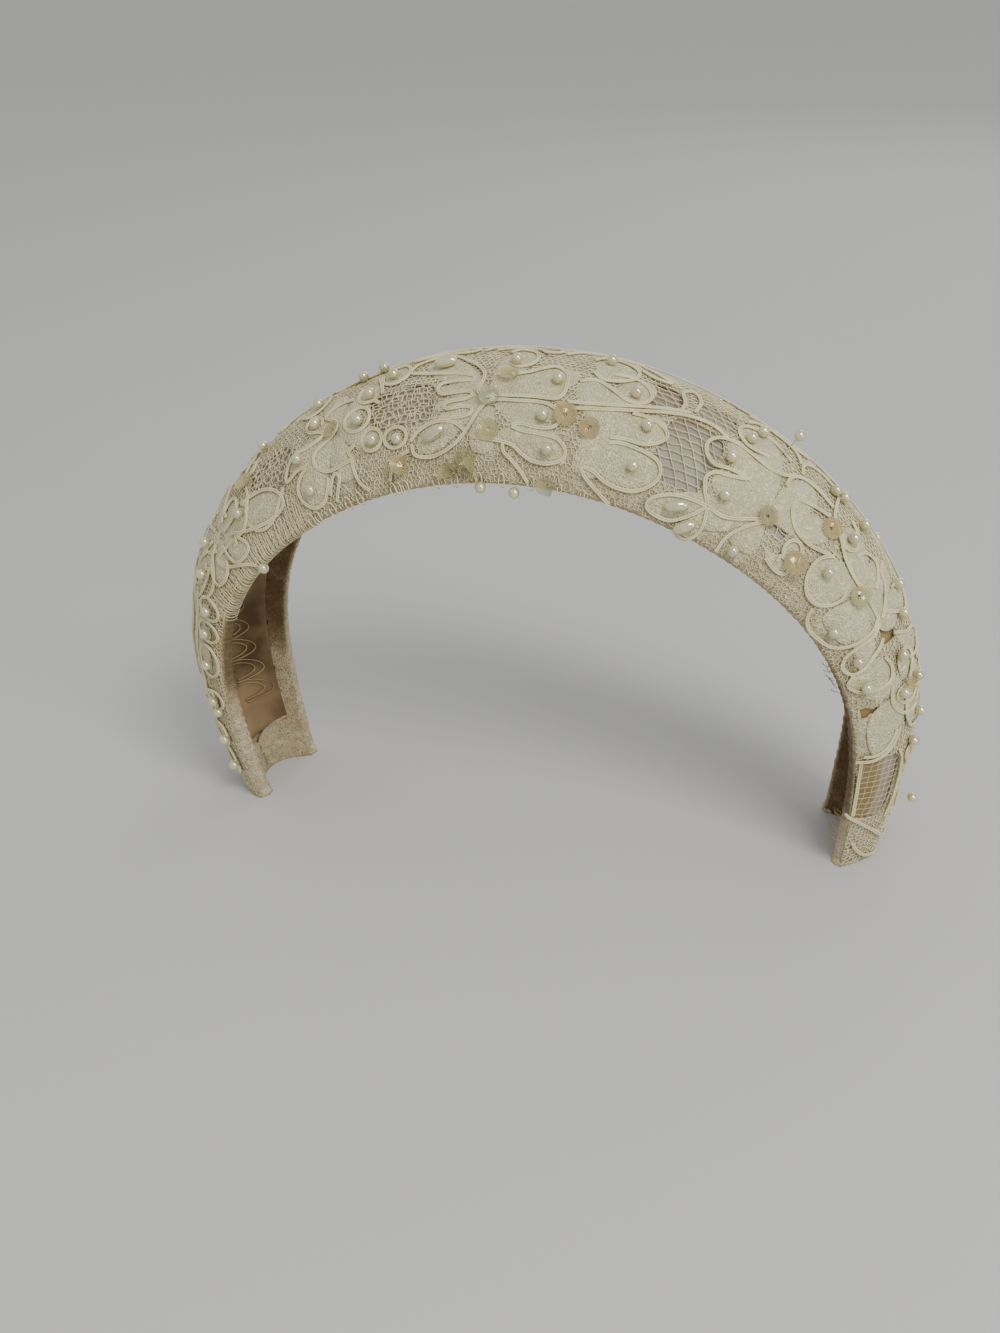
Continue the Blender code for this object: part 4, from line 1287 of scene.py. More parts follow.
@dataclass
class Petal:
    """One lobe of clothwork with a cord round it, in the flat layout."""

    along: float
    across: float
    turn: float
    length: float
    width: float
    widest: float = 0.70
    neck: float = 0.10
    foot: float = 0.18
    turn_in: float = 0.42

    def half(self, share: np.ndarray) -> np.ndarray:
        """Half width at a share of the length.

        Args:
            share: Shares of the petal's length.

        Returns:
            Half the width there.
        """
        climb = np.sin(np.clip(share / self.widest, 0.0, 1.0) * math.pi / 2.0) ** 1.15
        rise = self.neck + (1.0 - self.neck) * climb
        fall = np.sqrt(np.clip(1.0 - ((share - self.widest) / (1.0 - self.widest)) ** 2, 0.0, 1.0))
        return self.width / 2.0 * np.where(share < self.widest, rise, fall)

    def spread(self, forward: np.ndarray, sideways: np.ndarray) -> Flat:
        """Turn the petal's own directions into along and across.

        Args:
            forward: Distances from its foot towards its tip.
            sideways: Distances from its middle line.

        Returns:
            Along and across of each place.
        """
        heading = math.radians(self.turn)
        along = self.along + forward * math.cos(heading) - sideways * math.sin(heading)
        across = self.across + forward * math.sin(heading) + sideways * math.cos(heading)
        return along, across

    def place(self, form: BandForm, forward: np.ndarray, sideways: np.ndarray) -> Flat:
        """Along and across of the petal's own places, eased in near the band's edges.

        Args:
            form: The band's form.
            forward: Distances from its foot towards its tip.
            sideways: Distances from its middle line.

        Returns:
            Along and across of each place.
        """
        along, across = self.spread(forward, sideways)
        return along, form.ease(along, across)

    def holds(self, along: np.ndarray, across: np.ndarray, room: float) -> np.ndarray:
        """Whether flat places lie on the petal, with room to spare at its rim.

        Args:
            along: Places along the band.
            across: Places across it.
            room: Distance to keep from the rim.

        Returns:
            True for each place on the petal.
        """
        heading = math.radians(self.turn)
        forward = (along - self.along) * math.cos(heading) + (across - self.across) * math.sin(heading)
        sideways = (across - self.across) * math.cos(heading) - (along - self.along) * math.sin(heading)
        share = forward / self.length
        inside = (share > room / self.length) & (share < 1.0 - room / self.length)
        return inside & (np.abs(sideways) < self.half(np.clip(share, 0.0, 1.0)) - room)

    def outline(self, form: BandForm, step: float, height: float) -> np.ndarray:
        """Line of the cord round the petal, open at its neck.

        Args:
            form: The band's form.
            step: Distance between points.
            height: Height of the line.

        Returns:
            Flat points, one row each.
        """
        sweep = np.linspace(0.0, 1.0, max(8, int(1.15 * self.length / step)))
        share = self.foot + (1.0 - self.foot) * (1.0 - (1.0 - sweep) ** 1.7)
        half = self.half(share)
        back = np.flatnonzero(share > self.turn_in)
        curl = np.linspace(0.0, 1.0, 5)[1:]
        last = self.half(np.array(self.turn_in))
        tip = self.turn_in + 0.10 * np.sin(curl * 2.6)
        forward = np.concatenate([share, share[back][-2::-1], tip]) * self.length
        sideways = np.concatenate([-half, half[back][-2::-1], last * (1.0 - 0.75 * curl)])
        along, across = self.place(form, forward, sideways)
        return np.stack([along, across, np.full(len(along), height)], axis=1)


@dataclass
class SubAssembly:
    """A part of the headband, made in the workshop."""

    shop: Workshop

    @property
    def form(self) -> BandForm:
        """The band's form."""
        return self.shop.form


@dataclass
class SatinBand(SubAssembly):
    """The stiffened band in its satin cover."""

    outer_lift: float = -0.95
    inner_lift: float = -3.45
    edge_inset: float = 0.7
    edge_bulge: float = 0.7
    sections: int = 220
    arc_parts: int = 44

    def build(self) -> None:
        """Make the band as one closed, faintly rippled solid."""
        form = self.form
        shares = np.linspace(-1.0, 1.0, self.arc_parts + 1)
        rings = []
        layout = []
        for index in range(self.sections + 1):
            along = form.half_length * (2.0 * index / self.sections - 1.0)
            half = float(form.half_width(along)) - self.edge_inset
            outer = shares * half
            puff = 0.16 * ripple(np.full_like(outer, along) * 0.35, outer, 7.0, 0.4) + 0.08
            bulge = half + self.edge_bulge
            across = np.concatenate([outer, [bulge], outer[::-1], [-bulge]])
            middle = (self.outer_lift + self.inner_lift) / 2.0
            lift = np.concatenate([
                self.outer_lift + puff, [middle], np.full_like(outer, self.inner_lift), [middle],
            ])
            points = form.lay(along, across, lift)
            if index in (0, self.sections):
                points = self._to_floor(points, along)
            rings.append(points)
            layout.append(np.stack(alike(along, across), axis=1))
        count = len(rings[0])
        faces = grid_faces(self.sections + 1, count, 0, closed=True)
        faces += [tuple(range(count)), tuple(self.sections * count + i for i in range(count))]
        flat = np.vstack(layout)
        yellowing_and_shade = self.yellowing(flat[:, 0], flat[:, 1])
        mesh = self.shop.solid("satin_cover", np.vstack(rings), faces, self.shop.wardrobe.satin, flat, yellowing_and_shade)
        piece = self.shop.keep("satin_cover", mesh, "aged_satin", ["satin_band"])

    @staticmethod
    def yellowing(along: np.ndarray, across: np.ndarray) -> np.ndarray:
        """How yellowed the satin is: most at the front of the right leg, and in small patches.

        Args:
            along: Places along the band.
            across: Places across it.

        Returns:
            The share of yellow at each place, from 0 to 1.
        """
        leg = smooth_step(along, 122.0, 127.0) * smooth_step(-across, 14.5, 17.5)
        leg = np.maximum(leg, smooth_step(7.0 - np.hypot(along - 109.2, across + 12.6), 0.0, 3.0))
        patches = 0.2 * smooth_step(ripple(along, across, 31.0, 2.2), 0.25, 0.7)
        return np.clip(leg * (0.85 + 0.15 * ripple(along, across, 3.0, 0.7)) + patches, 0.0, 1.0)

    def _to_floor(self, points: np.ndarray, along: float) -> np.ndarray:
        """Run the end ring out to just above the hem on the floor.

        Args:
            points: The ring's points in metres.
            along: Place of the ring.

        Returns:
            The moved points.
        """
        side = math.copysign(1.0, along)
        drop = (points[:, 2] - HEM_TOP) / math.sin(self.form.end_angle)
        points = points.copy()
        points[:, 0] += side * math.cos(self.form.end_angle) * drop
        points[:, 2] = HEM_TOP
        return points


@dataclass
class Lining(SubAssembly):
    """Brown lining on the inner side, between the turned-in edges of the lace."""

    outer_lift: float = -3.75
    inner_lift: float = -4.6
    fold: float = 0.35
    reach: float = 0.76
    end_gap: float = 10.0
    sections: int = 200
    columns: int = 40

    def build(self) -> None:
        """Make the lining as a closed, slightly puckered sheet."""
        form = self.form
        ends = form.half_length - self.end_gap
        along = np.linspace(-ends, ends, self.sections + 1)[:, None]
        across = np.linspace(-self.reach, self.reach, self.columns + 1)[None, :] * form.half_width(along)
        along = np.broadcast_to(along, across.shape)
        share = across / (self.reach * form.half_width(along))
        folds = np.clip(ripple(0.3 * along, across + 0.06 * along, 8.0, 1.1), 0.0, 1.0) * (1.0 - share ** 4)
        pucker = 0.1 * ripple(along, across, 9.0, 1.9) - self.fold * folds
        cloth = form.lay(along, across, self.inner_lift + pucker)
        layers = Layers()
        layers.add(cloth, form.lay(along, across, self.outer_lift), (along, across))
        mesh = layers.solid(self.shop, "lining_cloth", self.shop.wardrobe.lining)
        piece = self.shop.keep("lining_cloth", mesh, "brown_lining", ["lining"])
        self.shop.declare_cloth(piece, cloth)


@dataclass
class TurnedLace(SubAssembly):
    """One of the lace's gathered edges, drawn round the band and sewn down on the inner side."""

    side: Side
    start: float = -2.4
    inner_share: float = 0.27
    thickness: float = 0.45
    pleat: float = 2.6
    pleat_height: float = 0.32
    scallop: float = 7.5
    foot_run: Row = (163.0, 170.0)
    open_run: Row = (141.5, 144.5, 161.0, 164.0)
    left_stain: Row = (92.0, 110.0, 136.0, 152.0)
    sections: int = 900
    columns: int = 16

    def build(self) -> None:
        """Make the gathered edge of one side.

        Args:

        """
        form = self.form
        share = np.linspace(0.0, 1.0, self.columns + 1)[None, :]
        place = np.linspace(-1.0, 1.0, self.sections + 1)[:, None]
        middle = place * form.half_length
        half = form.half_width(middle)
        scallop = np.abs(np.sin(math.pi * place * form.half_length / self.scallop))
        foot = smooth_step(np.abs(middle), *self.foot_run)
        inner = self.inner_share * half * (0.8 + 0.4 * scallop) * (1.0 - foot) + 0.99 * half * foot
        open_edge = plateau(middle, *self.open_run)
        front = self.side is Side.FRONT
        edge = self.side.value
        start = self.start + (2.0 * open_edge if front else 0.0)
        sweep = half + start + share * (form.edge_length - start + inner)
        along = place * form.end_reach(edge * sweep)
        gather = np.clip((share - 0.12) / 0.3, 0.0, 1.0)
        wander = 1.6 * np.sin(along / 17.0) + 0.9 * np.sin(along / 6.3 + 1.0)
        wave = 0.5 + 0.5 * np.sin(math.tau * (along + wander + 1.6 * share) / self.pleat)
        height = -0.55 + gather * (self.pleat_height * wave + 0.15)
        pull = np.clip((share - 0.86) / 0.14, 0.0, 1.0)
        height = height - 0.35 * pull * wave + 0.4 * foot * gather
        top = form.wrap(along, edge * sweep, height)
        under = form.wrap(along, edge * sweep, height - self.thickness)
        layers = Layers()
        layers.add(top, under, (along, sweep))
        stained = smooth_step(along, 96.0, 126.0) * (1.0 - front * smooth_step(along, 160.0, 168.0))
        left = plateau(-along, *self.left_stain)
        past = sweep - half
        reach = smooth_step(past, 0.0, 1.6) if front else 0.8 * smooth_step(past, 3.0, 7.0)
        stained = np.maximum(stained, left) * reach
        stained = stained * (0.9 + 0.1 * ripple(along, 3.0 * sweep, 3.6, 0.9))
        # Painted shade under the rolled edge and on the inner side, with some real yellowing there; the
        # stains of the legs are added on top
        yellowing_and_shade = 0.4 * smooth_step(past, 3.0, 6.5) * (0.7 + 0.3 * ripple(along, sweep, 9.0, 0.3))
        yellowing_and_shade = np.clip(yellowing_and_shade + stained, 0.0, 1.0).ravel()
        name = "turned_lace_" + self.side.name.lower()
        mesh = layers.solid(self.shop, name, self.shop.wardrobe.turned_lace, np.concatenate([yellowing_and_shade, yellowing_and_shade]))
        piece = self.shop.keep(name, mesh, LACE, ["lace_cover"])
        self.shop.declare_cloth(piece, top)


@dataclass
class PulledThreads(SubAssembly):
    """Threads of the lace drawn tight round the front edge, and its small edge loops."""

    start: float = -114.0
    end: float = -60.0
    pitch: float = 0.55
    seed: int = 21
    scallops: Row = (-154.0, -92.0, 7.0)
    frays: tuple[Row, ...] = ((112.0, 122.0, 1.4), (164.0, 173.0, 0.6))
    loops: tuple[float, ...] = (
        -60.0, -57.5, -52.0, -46.5, -42.5, -31.5, -29.8, -27.5, -18.2, -12.6, -5.5, 1.0, 9.4, 17.5, 24.0,
    )

    def build(self) -> None:
        """Make the drawn threads, the edge loops, the scallops inside and the loose threads, a piece each."""
        chance = np.random.default_rng(self.seed)
        self._keep("drawn_threads", self._drawn(chance), 0.09)
        self._keep("edge_loops", self._edge(chance), 0.17)
        self._keep("inner_scallops", self._inside(), 0.2)
        self._keep("loose_threads", self._loose(chance), 0.08)

    def _drawn(self, chance: np.random.Generator) -> list[np.ndarray]:
        """Threads drawn from the lace round the front edge.

        Args:
            chance: The random draws.

        Returns:
            Flat points of each thread.
        """
        lines = []
        for along in np.arange(self.start, self.end, self.pitch):
            if chance.uniform() > (along - self.start) / 12.0:
                continue
            half = float(self.form.half_width(np.array(along)))
            share = np.linspace(0.0, 1.0, 14)
            begin = half - float(chance.uniform(2.0, 9.0))
            sweep = begin + share * (half + self.form.edge_length * 0.8 - begin)
            lean = float(chance.normal(0.0, 1.0)) - 2.6
            height = 0.02 + 0.12 * np.sin(math.pi * np.clip(share * 1.4, 0.0, 1.0))
            lines.append(np.stack([along + lean * (share - 0.5), -sweep, height], axis=1))
        return lines

    def _edge(self, chance: np.random.Generator) -> list[np.ndarray]:
        """Small loops along the front edge.

        Args:
            chance: The random draws.

        Returns:
            Flat points of each loop.
        """
        lines = []
        for along in self.loops:
            half = float(self.form.half_width(np.array(along)))
            turn = np.linspace(-0.4, math.tau - 1.2, 16)
            reach = float(chance.uniform(0.7, 1.2))
            sweep = half - 0.2 - 1.6 * reach * np.cos(turn)
            lines.append(np.stack(alike(along + reach * 0.8 * np.sin(turn), -sweep, 0.45), axis=1))
        return lines

    def _inside(self) -> list[np.ndarray]:
        """Double scallops of the lace's edge on the inner side.

        Returns:
            Flat points of each scallop.
        """
        lines = []
        for along in np.arange(*self.scallops):
            inner = float(self.form.half_width(np.array(along))) + self.form.edge_length
            for size in (1.0, 0.74):
                turn = np.linspace(0.0, math.pi, 17)
                sweep = inner + 24.0 + size * 13.0 * np.sin(turn)
                reach = along + size * (3.7 * np.cos(turn) - 2.2 * np.sin(turn))
                lines.append(np.stack(alike(reach, -sweep, 0.35), axis=1))
        return lines

    def _loose(self, chance: np.random.Generator) -> list[np.ndarray]:
        """Loose ends of thread at the right leg.

        Args:
            chance: The random draws.

        Returns:
            Flat points of each thread.
        """
        lines = []
        for along in (place for run in self.frays for place in np.arange(*run)):
            half = float(self.form.half_width(np.array(along)))
            share = np.linspace(0.0, 1.0, 9)
            length = float(chance.uniform(1.2, 3.6))
            curl = float(chance.normal(0.0, 1.2))
            sweep = half + float(chance.uniform(2.2, 4.2)) + 1.5 * share
            lines.append(np.stack([along + curl * share ** 2, -sweep, 0.1 + length * share], axis=1))
        return lines

    def _keep(self, name: str, lines: Sequence[np.ndarray], radius: float) -> None:
        """Turn lines into strands that lie on the band.

        Args:
            name: The piece's name.
            lines: Flat points of each line.
            radius: Radius of the thread.
        """
        stained = name in ("inner_scallops", "loose_threads")
        finish = self.shop.wardrobe.inner_cord if stained else self.shop.wardrobe.cord
        self.shop.string(name, *chain(lines), finish, radius)


@dataclass
class FootHems(SubAssembly):
    """Flat hems that close the two ends on the floor."""

    height: float = 1.0
    arc_parts: int = 40
    wall_parts: int = 4

    def build(self) -> None:
        """Make both hems as one piece."""
        form = self.form
        layers = Layers()
        depth = np.linspace(0.0, 1.0, self.wall_parts + 1)[:, None]
        bulge = 0.9 * form.edge_bulge * np.sin(depth * math.pi)
        spread = np.linspace(-1.0, 1.0, self.arc_parts + 1)[None, :]
        across = spread * (form.half_width(form.half_length) + bulge)
        lift = -form.wall * depth + 0.0 * across
        for side in (-1.0, 1.0):
            grids = []
            for level in (0.0, self.height * MILLIMETRE):
                grid = form.lay(side * form.half_length, across, lift)
                drop = (grid[..., 2] - level) / math.sin(form.end_angle)
                grid[..., 0] += side * math.cos(form.end_angle) * drop
                grid[..., 2] = level
                grids.append(grid)
            layers.add(*grids, (lift, across))
        mesh = layers.solid(self.shop, "foot_hems", self.shop.wardrobe.turned_lace)
        self.shop.keep("foot_hems", mesh, LACE, ["lace_cover"])


@dataclass
class LaceGround(SubAssembly):
    """The fine lace between the flowers, cut away at the windows of open net."""

    cell: float = 0.95
    height: float = -0.22
    thickness: float = 0.55
    relief: float = 0.1
    end_gap: float = 1.3
    snap_reach: float = 0.55
    left_stain: Row = (92.0, 102.0, 122.0, 138.0)

    def build(self) -> None:
        """Make the ground as a thin closed sheet with holes."""
        form = self.form
        columns = int(2.0 * form.half_length / self.cell) + 1
        rows = int(form.centre_width / self.cell) + 1
        place = np.linspace(-1.0, 1.0, columns)[None, :]
        share = np.linspace(-1.0, 1.0, rows)[:, None]
        across = share * form.half_width(place * form.half_length)
        along = place * (form.end_reach(across) - self.end_gap)
        along, across = self._snap(along, across)
        kept = ~in_windows(*(
            (grid[:-1, :-1] + grid[1:, :-1] + grid[:-1, 1:] + grid[1:, 1:]) / 4.0 for grid in (along, across)
        ))
        number = np.arange(rows * columns).reshape(rows, columns)
        low, high = number[:-1], number[1:]
        corners = np.stack([low[:, :-1], low[:, 1:], high[:, 1:], high[:, :-1]], axis=-1)[kept]
        sides = np.concatenate([corners[:, [i, (i + 1) % 4]] for i in range(4)])
        known = {tuple(pair) for pair in sides.tolist()}
        count = rows * columns
        faces = [tuple(quad) for quad in corners.tolist()]
        faces += [tuple(index + count for index in quad[::-1]) for quad in corners.tolist()]
        faces += [
            (second, first, first + count, second + count)
            for first, second in known if (second, first) not in known
        ]
        lift = self.height + self.relief * ripple(along, across, 2.7, 0.9)
        gather = smooth_step(np.abs(across) / form.half_width(along), 0.72, 0.92)
        lift = lift + 0.2 * gather * ripple(along, 0.25 * across, 3.4, 1.7)
        cloth = form.wrap(along, across, lift)
        top = cloth.reshape(-1, 3)
        under = form.wrap(along, across, lift - self.thickness).reshape(-1, 3)
        layout = np.stack([along.ravel(), across.ravel()], axis=1)
        layout = np.vstack([layout, layout])
        # Browner towards both edges of the dome, in random patches, and in a stain near the front of the left
        # leg
        edge = smooth_step(np.abs(layout[:, 1]) / form.half_width(layout[:, 0]), 0.93, 1.02)
        leg = plateau(-layout[:, 0], *self.left_stain)
        leg = leg * smooth_step(-layout[:, 1] - form.half_width(layout[:, 0]), -6.5, -0.5)
        leg = leg * (0.8 + 0.2 * ripple(layout[:, 0], layout[:, 1], 4.0, 2.0))
        yellowing_and_shade = 0.35 * edge + 0.2 * smooth_step(ripple(layout[:, 0], layout[:, 1], 13.0, 4.0), 0.3, 0.8)
        yellowing_and_shade = np.clip(np.maximum(yellowing_and_shade, leg), 0.0, 1.0)
        mesh = self.shop.solid(
            "lace_ground", np.vstack([top, under]), faces, self.shop.wardrobe.ground, layout, yellowing_and_shade
        )
        sculpt = bmesh.new()
        sculpt.from_mesh(mesh)
        loose = [vert for vert in sculpt.verts if not vert.link_faces]
        bmesh.ops.delete(sculpt, geom=loose, context="VERTS")
        sculpt.to_mesh(mesh)
        sculpt.free()
        piece = self.shop.keep("lace_ground", mesh, LACE, ["lace_cover"])
        self.shop.declare_cloth(piece, cloth, kept)

    def _snap(self, along: np.ndarray, across: np.ndarray) -> Flat:
        """Pull grid points that are close to a window's edge onto it.

        Args:
            along: Places along the band.
            across: Places across it.

        Returns:
            The moved places.
        """
        for centre_along, centre_across, half_length, half_width in WINDOWS:
            u = (along - centre_along) / half_length
            v = (across - centre_across) / half_width
            reach = np.maximum((u ** 4 + v ** 4) ** 0.25, 0.01)
            near = np.abs(reach - 1.0) * min(half_length, half_width) < self.snap_reach
            scale = np.where(near, 1.0 / reach, 1.0)
            along = np.where(near, centre_along + u * half_length * scale, along)
            across = np.where(near, centre_across + v * half_width * scale, across)
        return along, across


@dataclass
class NetLayer(SubAssembly):
    """Six-sided net: wavy threads along the band, tied to each other by short links."""

    name: str
    cell: float
    thread: float
    height: float
    sides: int = 4
    warp: float = 0.45
    rise: float = 0.25
    jitter: float = 0.0
    row_share: float = 0.87
    slant: float = 0.0
    seed: int = 3
    brick: bool = True
    halves: bool = False

    def lattice(self) -> Flat:
        """Flat points of the net and their grid numbers.

        Returns:
            Points by row and column, and their numbers.
        """
        side = self.cell / math.sqrt(3.0)
        columns = int(4.0 * (self.form.half_length + 4.0) / self.cell)
        pitch = self.row_share * self.cell
        rows = int(self.form.centre_width / pitch) + 1
        row, column = np.meshgrid(np.arange(rows), np.arange(columns), indexing="ij")
        along = (column - (columns - 1) / 2.0) * self.cell / 2.0
        zigzag = np.where((row + column) % 2 == 0, self.rise, -self.rise) * side
        across = (row - (rows - 1) / 2.0) * pitch
        along = along + self.slant * across
        across = across + zigzag
        moved_along = along + self.warp * np.sin(across / 5.0 + along / 19.0)
        moved_across = across + self.warp * (np.sin(along / 7.0) + 0.5 * np.sin(along / 2.9 + across / 8.0))
        chance = np.random.default_rng(self.seed)
        shake = chance.normal(0.0, 1.0, (2, *along.shape)).clip(-2.0, 2.0) * self.jitter
        height = self.height + 0.05 * np.sin(along * 3.1 + across)
        points = np.stack([moved_along + shake[0], moved_across + shake[1], height], axis=-1)
        return points, np.arange(rows * columns).reshape(rows, columns)

    def build(self, finish: Finish, shown: Test) -> None:
        """Make the net where it shows.

        Args:
            finish: Finish of the thread.
            shown: Tells for flat places whether the net shows there.
        """
        form = self.form
        points, number = self.lattice()
        flat = points.reshape(-1, 3)
        runs = np.stack([number[:, :-1].ravel(), number[:, 1:].ravel()], axis=1)
        ties = np.stack([number[:-1].ravel(), number[1:].ravel()], axis=1)
        rows, columns = number.shape
        shift = int(self.brick)
        upper = (np.add.outer(shift * np.arange(rows - 1), np.arange(columns)) % 2 == 0).ravel()
        separate = np.concatenate([flat, flat])
        edges = np.concatenate([runs, ties[upper] + len(flat)])
        middle = (separate[edges[:, 0]] + separate[edges[:, 1]]) / 2.0
        keep = np.abs(middle[:, 1]) < form.half_width(middle[:, 0])
        keep &= np.abs(middle[:, 0]) < form.end_reach(middle[:, 1]) - 1.4
        keep &= shown(middle[:, 0], middle[:, 1])
        parts = ((self.name, keep),)
        if self.halves:
            left = middle[:, 0] < 0.0
            parts = ((self.name + "_left", keep & left), (self.name + "_right", keep & ~left))
        for name, share in parts:
            self.shop.string(
                name, separate, edges[share], finish, self.thread / 2.0, sides=self.sides, smooth=False,
                replaces=["lace_cover"],
            )


@dataclass
class LaceFlowers(SubAssembly):
    """Clothwork petals with cord round them, and the pearls sewn on."""

    cloth_base: float = 0.0
    cloth_rim: float = 0.02
    cloth_crown: float = 0.4
    cord_radius: float = 0.22
    cord_spread: float = 0.22
    cord_height: float = 0.66
    row_pitch: float = 1.1
    columns: int = 9
    petals: dict[str, list[Petal]] = field(default_factory=dict)

    def __post_init__(self) -> None:
        """Read the petal table."""
        for name, along, across, lobes in FLOWERS:
            self.petals[name] = [Petal(along, across, *lobe) for lobe in lobes]

    def everyone(self) -> list[Petal]:
        """All petals of all flowers."""
        return [petal for petals in self.petals.values() for petal in petals]

    def cloth(self, petals: Sequence[Petal]) -> Layers:
        """Closed, domed clothwork for some petals.

        Args:
            petals: The petals.

        Returns:
            The clothwork's closed sheets.
        """
        layers = Layers()
        for petal in petals:
            rows = max(8, int(petal.length / self.row_pitch))
            share = 0.05 + 0.949 * (1.0 - (1.0 - np.linspace(0.0, 1.0, rows)) ** 1.6)[:, None]
            side = np.linspace(-1.0, 1.0, self.columns)[None, :]
            half = petal.half(share)
            forward, sideways = alike(share * petal.length, side * half)
            along, across = petal.place(self.form, forward, sideways)
            dome = self.cloth_rim + self.cloth_crown * (1.0 - side ** 2) * np.minimum(half / 3.0, 1.0)
            dome = dome + 0.07 * ripple(along, across, 2.3, petal.turn)
            sides = [self.form.wrap(along, across, height) for height in (dome, self.cloth_base)]
            layers.add(*sides, (forward, sideways))
        return layers

    def build(self) -> None:
        """Make the clothwork of each flower, and cord round the petals whose cords are not listed in the cord
        tables.
        """
        for name, petals in self.petals.items():
            mesh = self.cloth(petals).solid(self.shop, "petals_" + name, self.shop.wardrobe.clothwork)
            self.shop.keep("petals_" + name, mesh, LACE, ["flower_" + name])
        lines = [
            petal.outline(self.form, 0.8, self.cord_height)
            for name, petals in self.petals.items() if name not in CORDED_FLOWERS
            for petal in petals if (name, petal.turn) not in CORDED_PETALS
        ]
        self.cord("petal_cord", lines)

    def cord(self, name: str, lines: Sequence[np.ndarray], rings: int = 0) -> None:
        """Make raised cord of two strands along some lines.

        Args:
            name: The piece's name.
            lines: Flat points of each line.
            rings: How many lines, the last ones, close on themselves.
        """
        self.shop.string(
            name, *chain(lines, rings), self.shop.wardrobe.cord, self.cord_radius, self.cord_spread, sides=6,
        )


@dataclass
class Scrollwork(SubAssembly):
    """Cord scrolls, small leaves and rings that fill the ground between the flowers."""

    flowers: LaceFlowers
    seed: int = 7
    leaf_pitch: float = 8.2
    row_pitch: float = 7.0
    leaf_length: float = 7.2
    leaf_width: float = 4.2
    edge_gap: float = 1.5
    end_gap: float = 3.0
    cord_gap: float = 1.6
    window_share: float = 0.9
    leaves: list[Petal] = field(default_factory=list)

    def plan(self) -> None:
        """Place small leaves wherever the ground is free."""
        petals = self.flowers.everyone()
        chance = np.random.default_rng(self.seed)
        rows = int(self.form.centre_width / self.row_pitch) + 1
        lines = np.vstack([smooth_path(knots, 1.5) for knots in FRONT_CORDS + REAR_CORDS])
        for row in range(rows):
            across = (row - (rows - 1) / 2.0) * self.row_pitch
            for index in range(int(2.0 * self.form.half_length / self.leaf_pitch)):
                along = -self.form.half_length + (index + 0.5 * (row % 2)) * self.leaf_pitch
                along += chance.normal(0.0, 0.8)
                place = across + chance.normal(0.0, 0.6)
                turn = float(chance.uniform(0.0, 360.0))
                size = float(chance.uniform(0.8, 1.15))
                leaf = Petal(along, place, turn, self.leaf_length * size, self.leaf_width * size, neck=0.2)
                if self._is_free(leaf, petals, lines):
                    self.leaves.append(leaf)

    def _is_free(self, leaf: Petal, petals: Sequence[Petal], lines: np.ndarray) -> bool:
        """Whether a leaf lies clear of the petals, the cords and the open net.

        Args:
            leaf: The leaf.
            petals: Petals of the flowers.
            lines: Flat points of the cords.

        Returns:
            True for a leaf that is clear.
        """
        share = np.array([0.0, 0.35, 0.7, 1.0, 0.7, 0.7])
        sideways = np.array([0.0, 0.0, 0.0, 0.0, 0.5, -0.5]) * leaf.width
        along, across = leaf.spread(share * leaf.length, sideways)
        past = np.abs(across) > self.form.half_width(along) - self.edge_gap
        if np.any(past | (np.abs(along) > self.form.half_length - self.end_gap)):
            return False
        if any(np.any(petal.holds(along, across, -0.5)) for petal in petals):
            return False
        gaps = np.hypot(along[:, None] - lines[None, :, 0], across[:, None] - lines[None, :, 1])
        clear = gaps.min() >= self.cord_gap
        return bool(clear and not np.any(in_windows(along, across, self.window_share)))

    @staticmethod
    def _loops() -> Iterable[Flat]:
        """Find the cords that close round a patch of clothwork.

        Yields:
            Middle and outline of each.
        """
        for knots in FRONT_CORDS + REAR_CORDS:
            path = smooth_path(knots, 0.9)
            ends = float(np.hypot(*(path[-1] - path[0])))
            length = float(np.hypot(*np.diff(path, axis=0).T).sum())
            middle = path.mean(axis=0)
            spoke = path - middle
            turned = spoke[:-1, 0] * spoke[1:, 1] - spoke[:-1, 1] * spoke[1:, 0]
            one_way = np.all(turned > 0.0) or np.all(turned < 0.0)
            if ends < 0.54 * length and abs(turned.sum()) > 40.0 and one_way:
                yield middle, path

    def _filling(self) -> None:
        """Make the domed clothwork inside the closed cords as one piece."""
        flowers = self.flowers
        layers = Layers()
        share = np.array([0.02, 0.2, 0.4, 0.6, 0.75, 0.88, 0.98])[:, None]
        for middle, path in self._loops():
            along = middle[0] + share * (path[:, 0] - middle[0])
            across = middle[1] + share * (path[:, 1] - middle[1])
            dome = flowers.cloth_rim + 0.06 + flowers.cloth_crown * (1.0 - share ** 2)
            dome = dome + 0.07 * ripple(along, across, 2.3, 0.6)
            sides = [self.form.wrap(along, across, height) for height in (dome, flowers.cloth_base)]
            layers.add(*sides, (along, across), ring=True)
        self.shop.keep("cord_filling", layers.solid(self.shop, "cord_filling", self.shop.wardrobe.clothwork))

    def build(self) -> None:
        """Make the leaves' clothwork, and all scrolls, leaf outlines and rings as cord."""
        self._filling()
        mesh = self.flowers.cloth(self.leaves).solid(self.shop, "small_leaves", self.shop.wardrobe.clothwork)
        self.shop.keep("small_leaves", mesh)
        height = self.flowers.cord_height - 0.1
        paths = [smooth_path(knots, 0.8) for knots in FRONT_CORDS + REAR_CORDS]
        lines = [np.column_stack([path, np.full(len(path), height)]) for path in paths]
        lines += [leaf.outline(self.form, 0.9, height) for leaf in self.leaves]
        turn = np.linspace(0.0, math.tau, 21)[:-1]
        for along, across, long_radius, cross_radius in CORD_RINGS:
            ring = [along + long_radius * np.cos(turn), across + cross_radius * np.sin(turn)]
            lines.append(np.stack([*ring, np.full(len(turn), self.flowers.cord_height - 0.15)], axis=1))
        self.flowers.cord("scroll_cord", lines, len(CORD_RINGS))


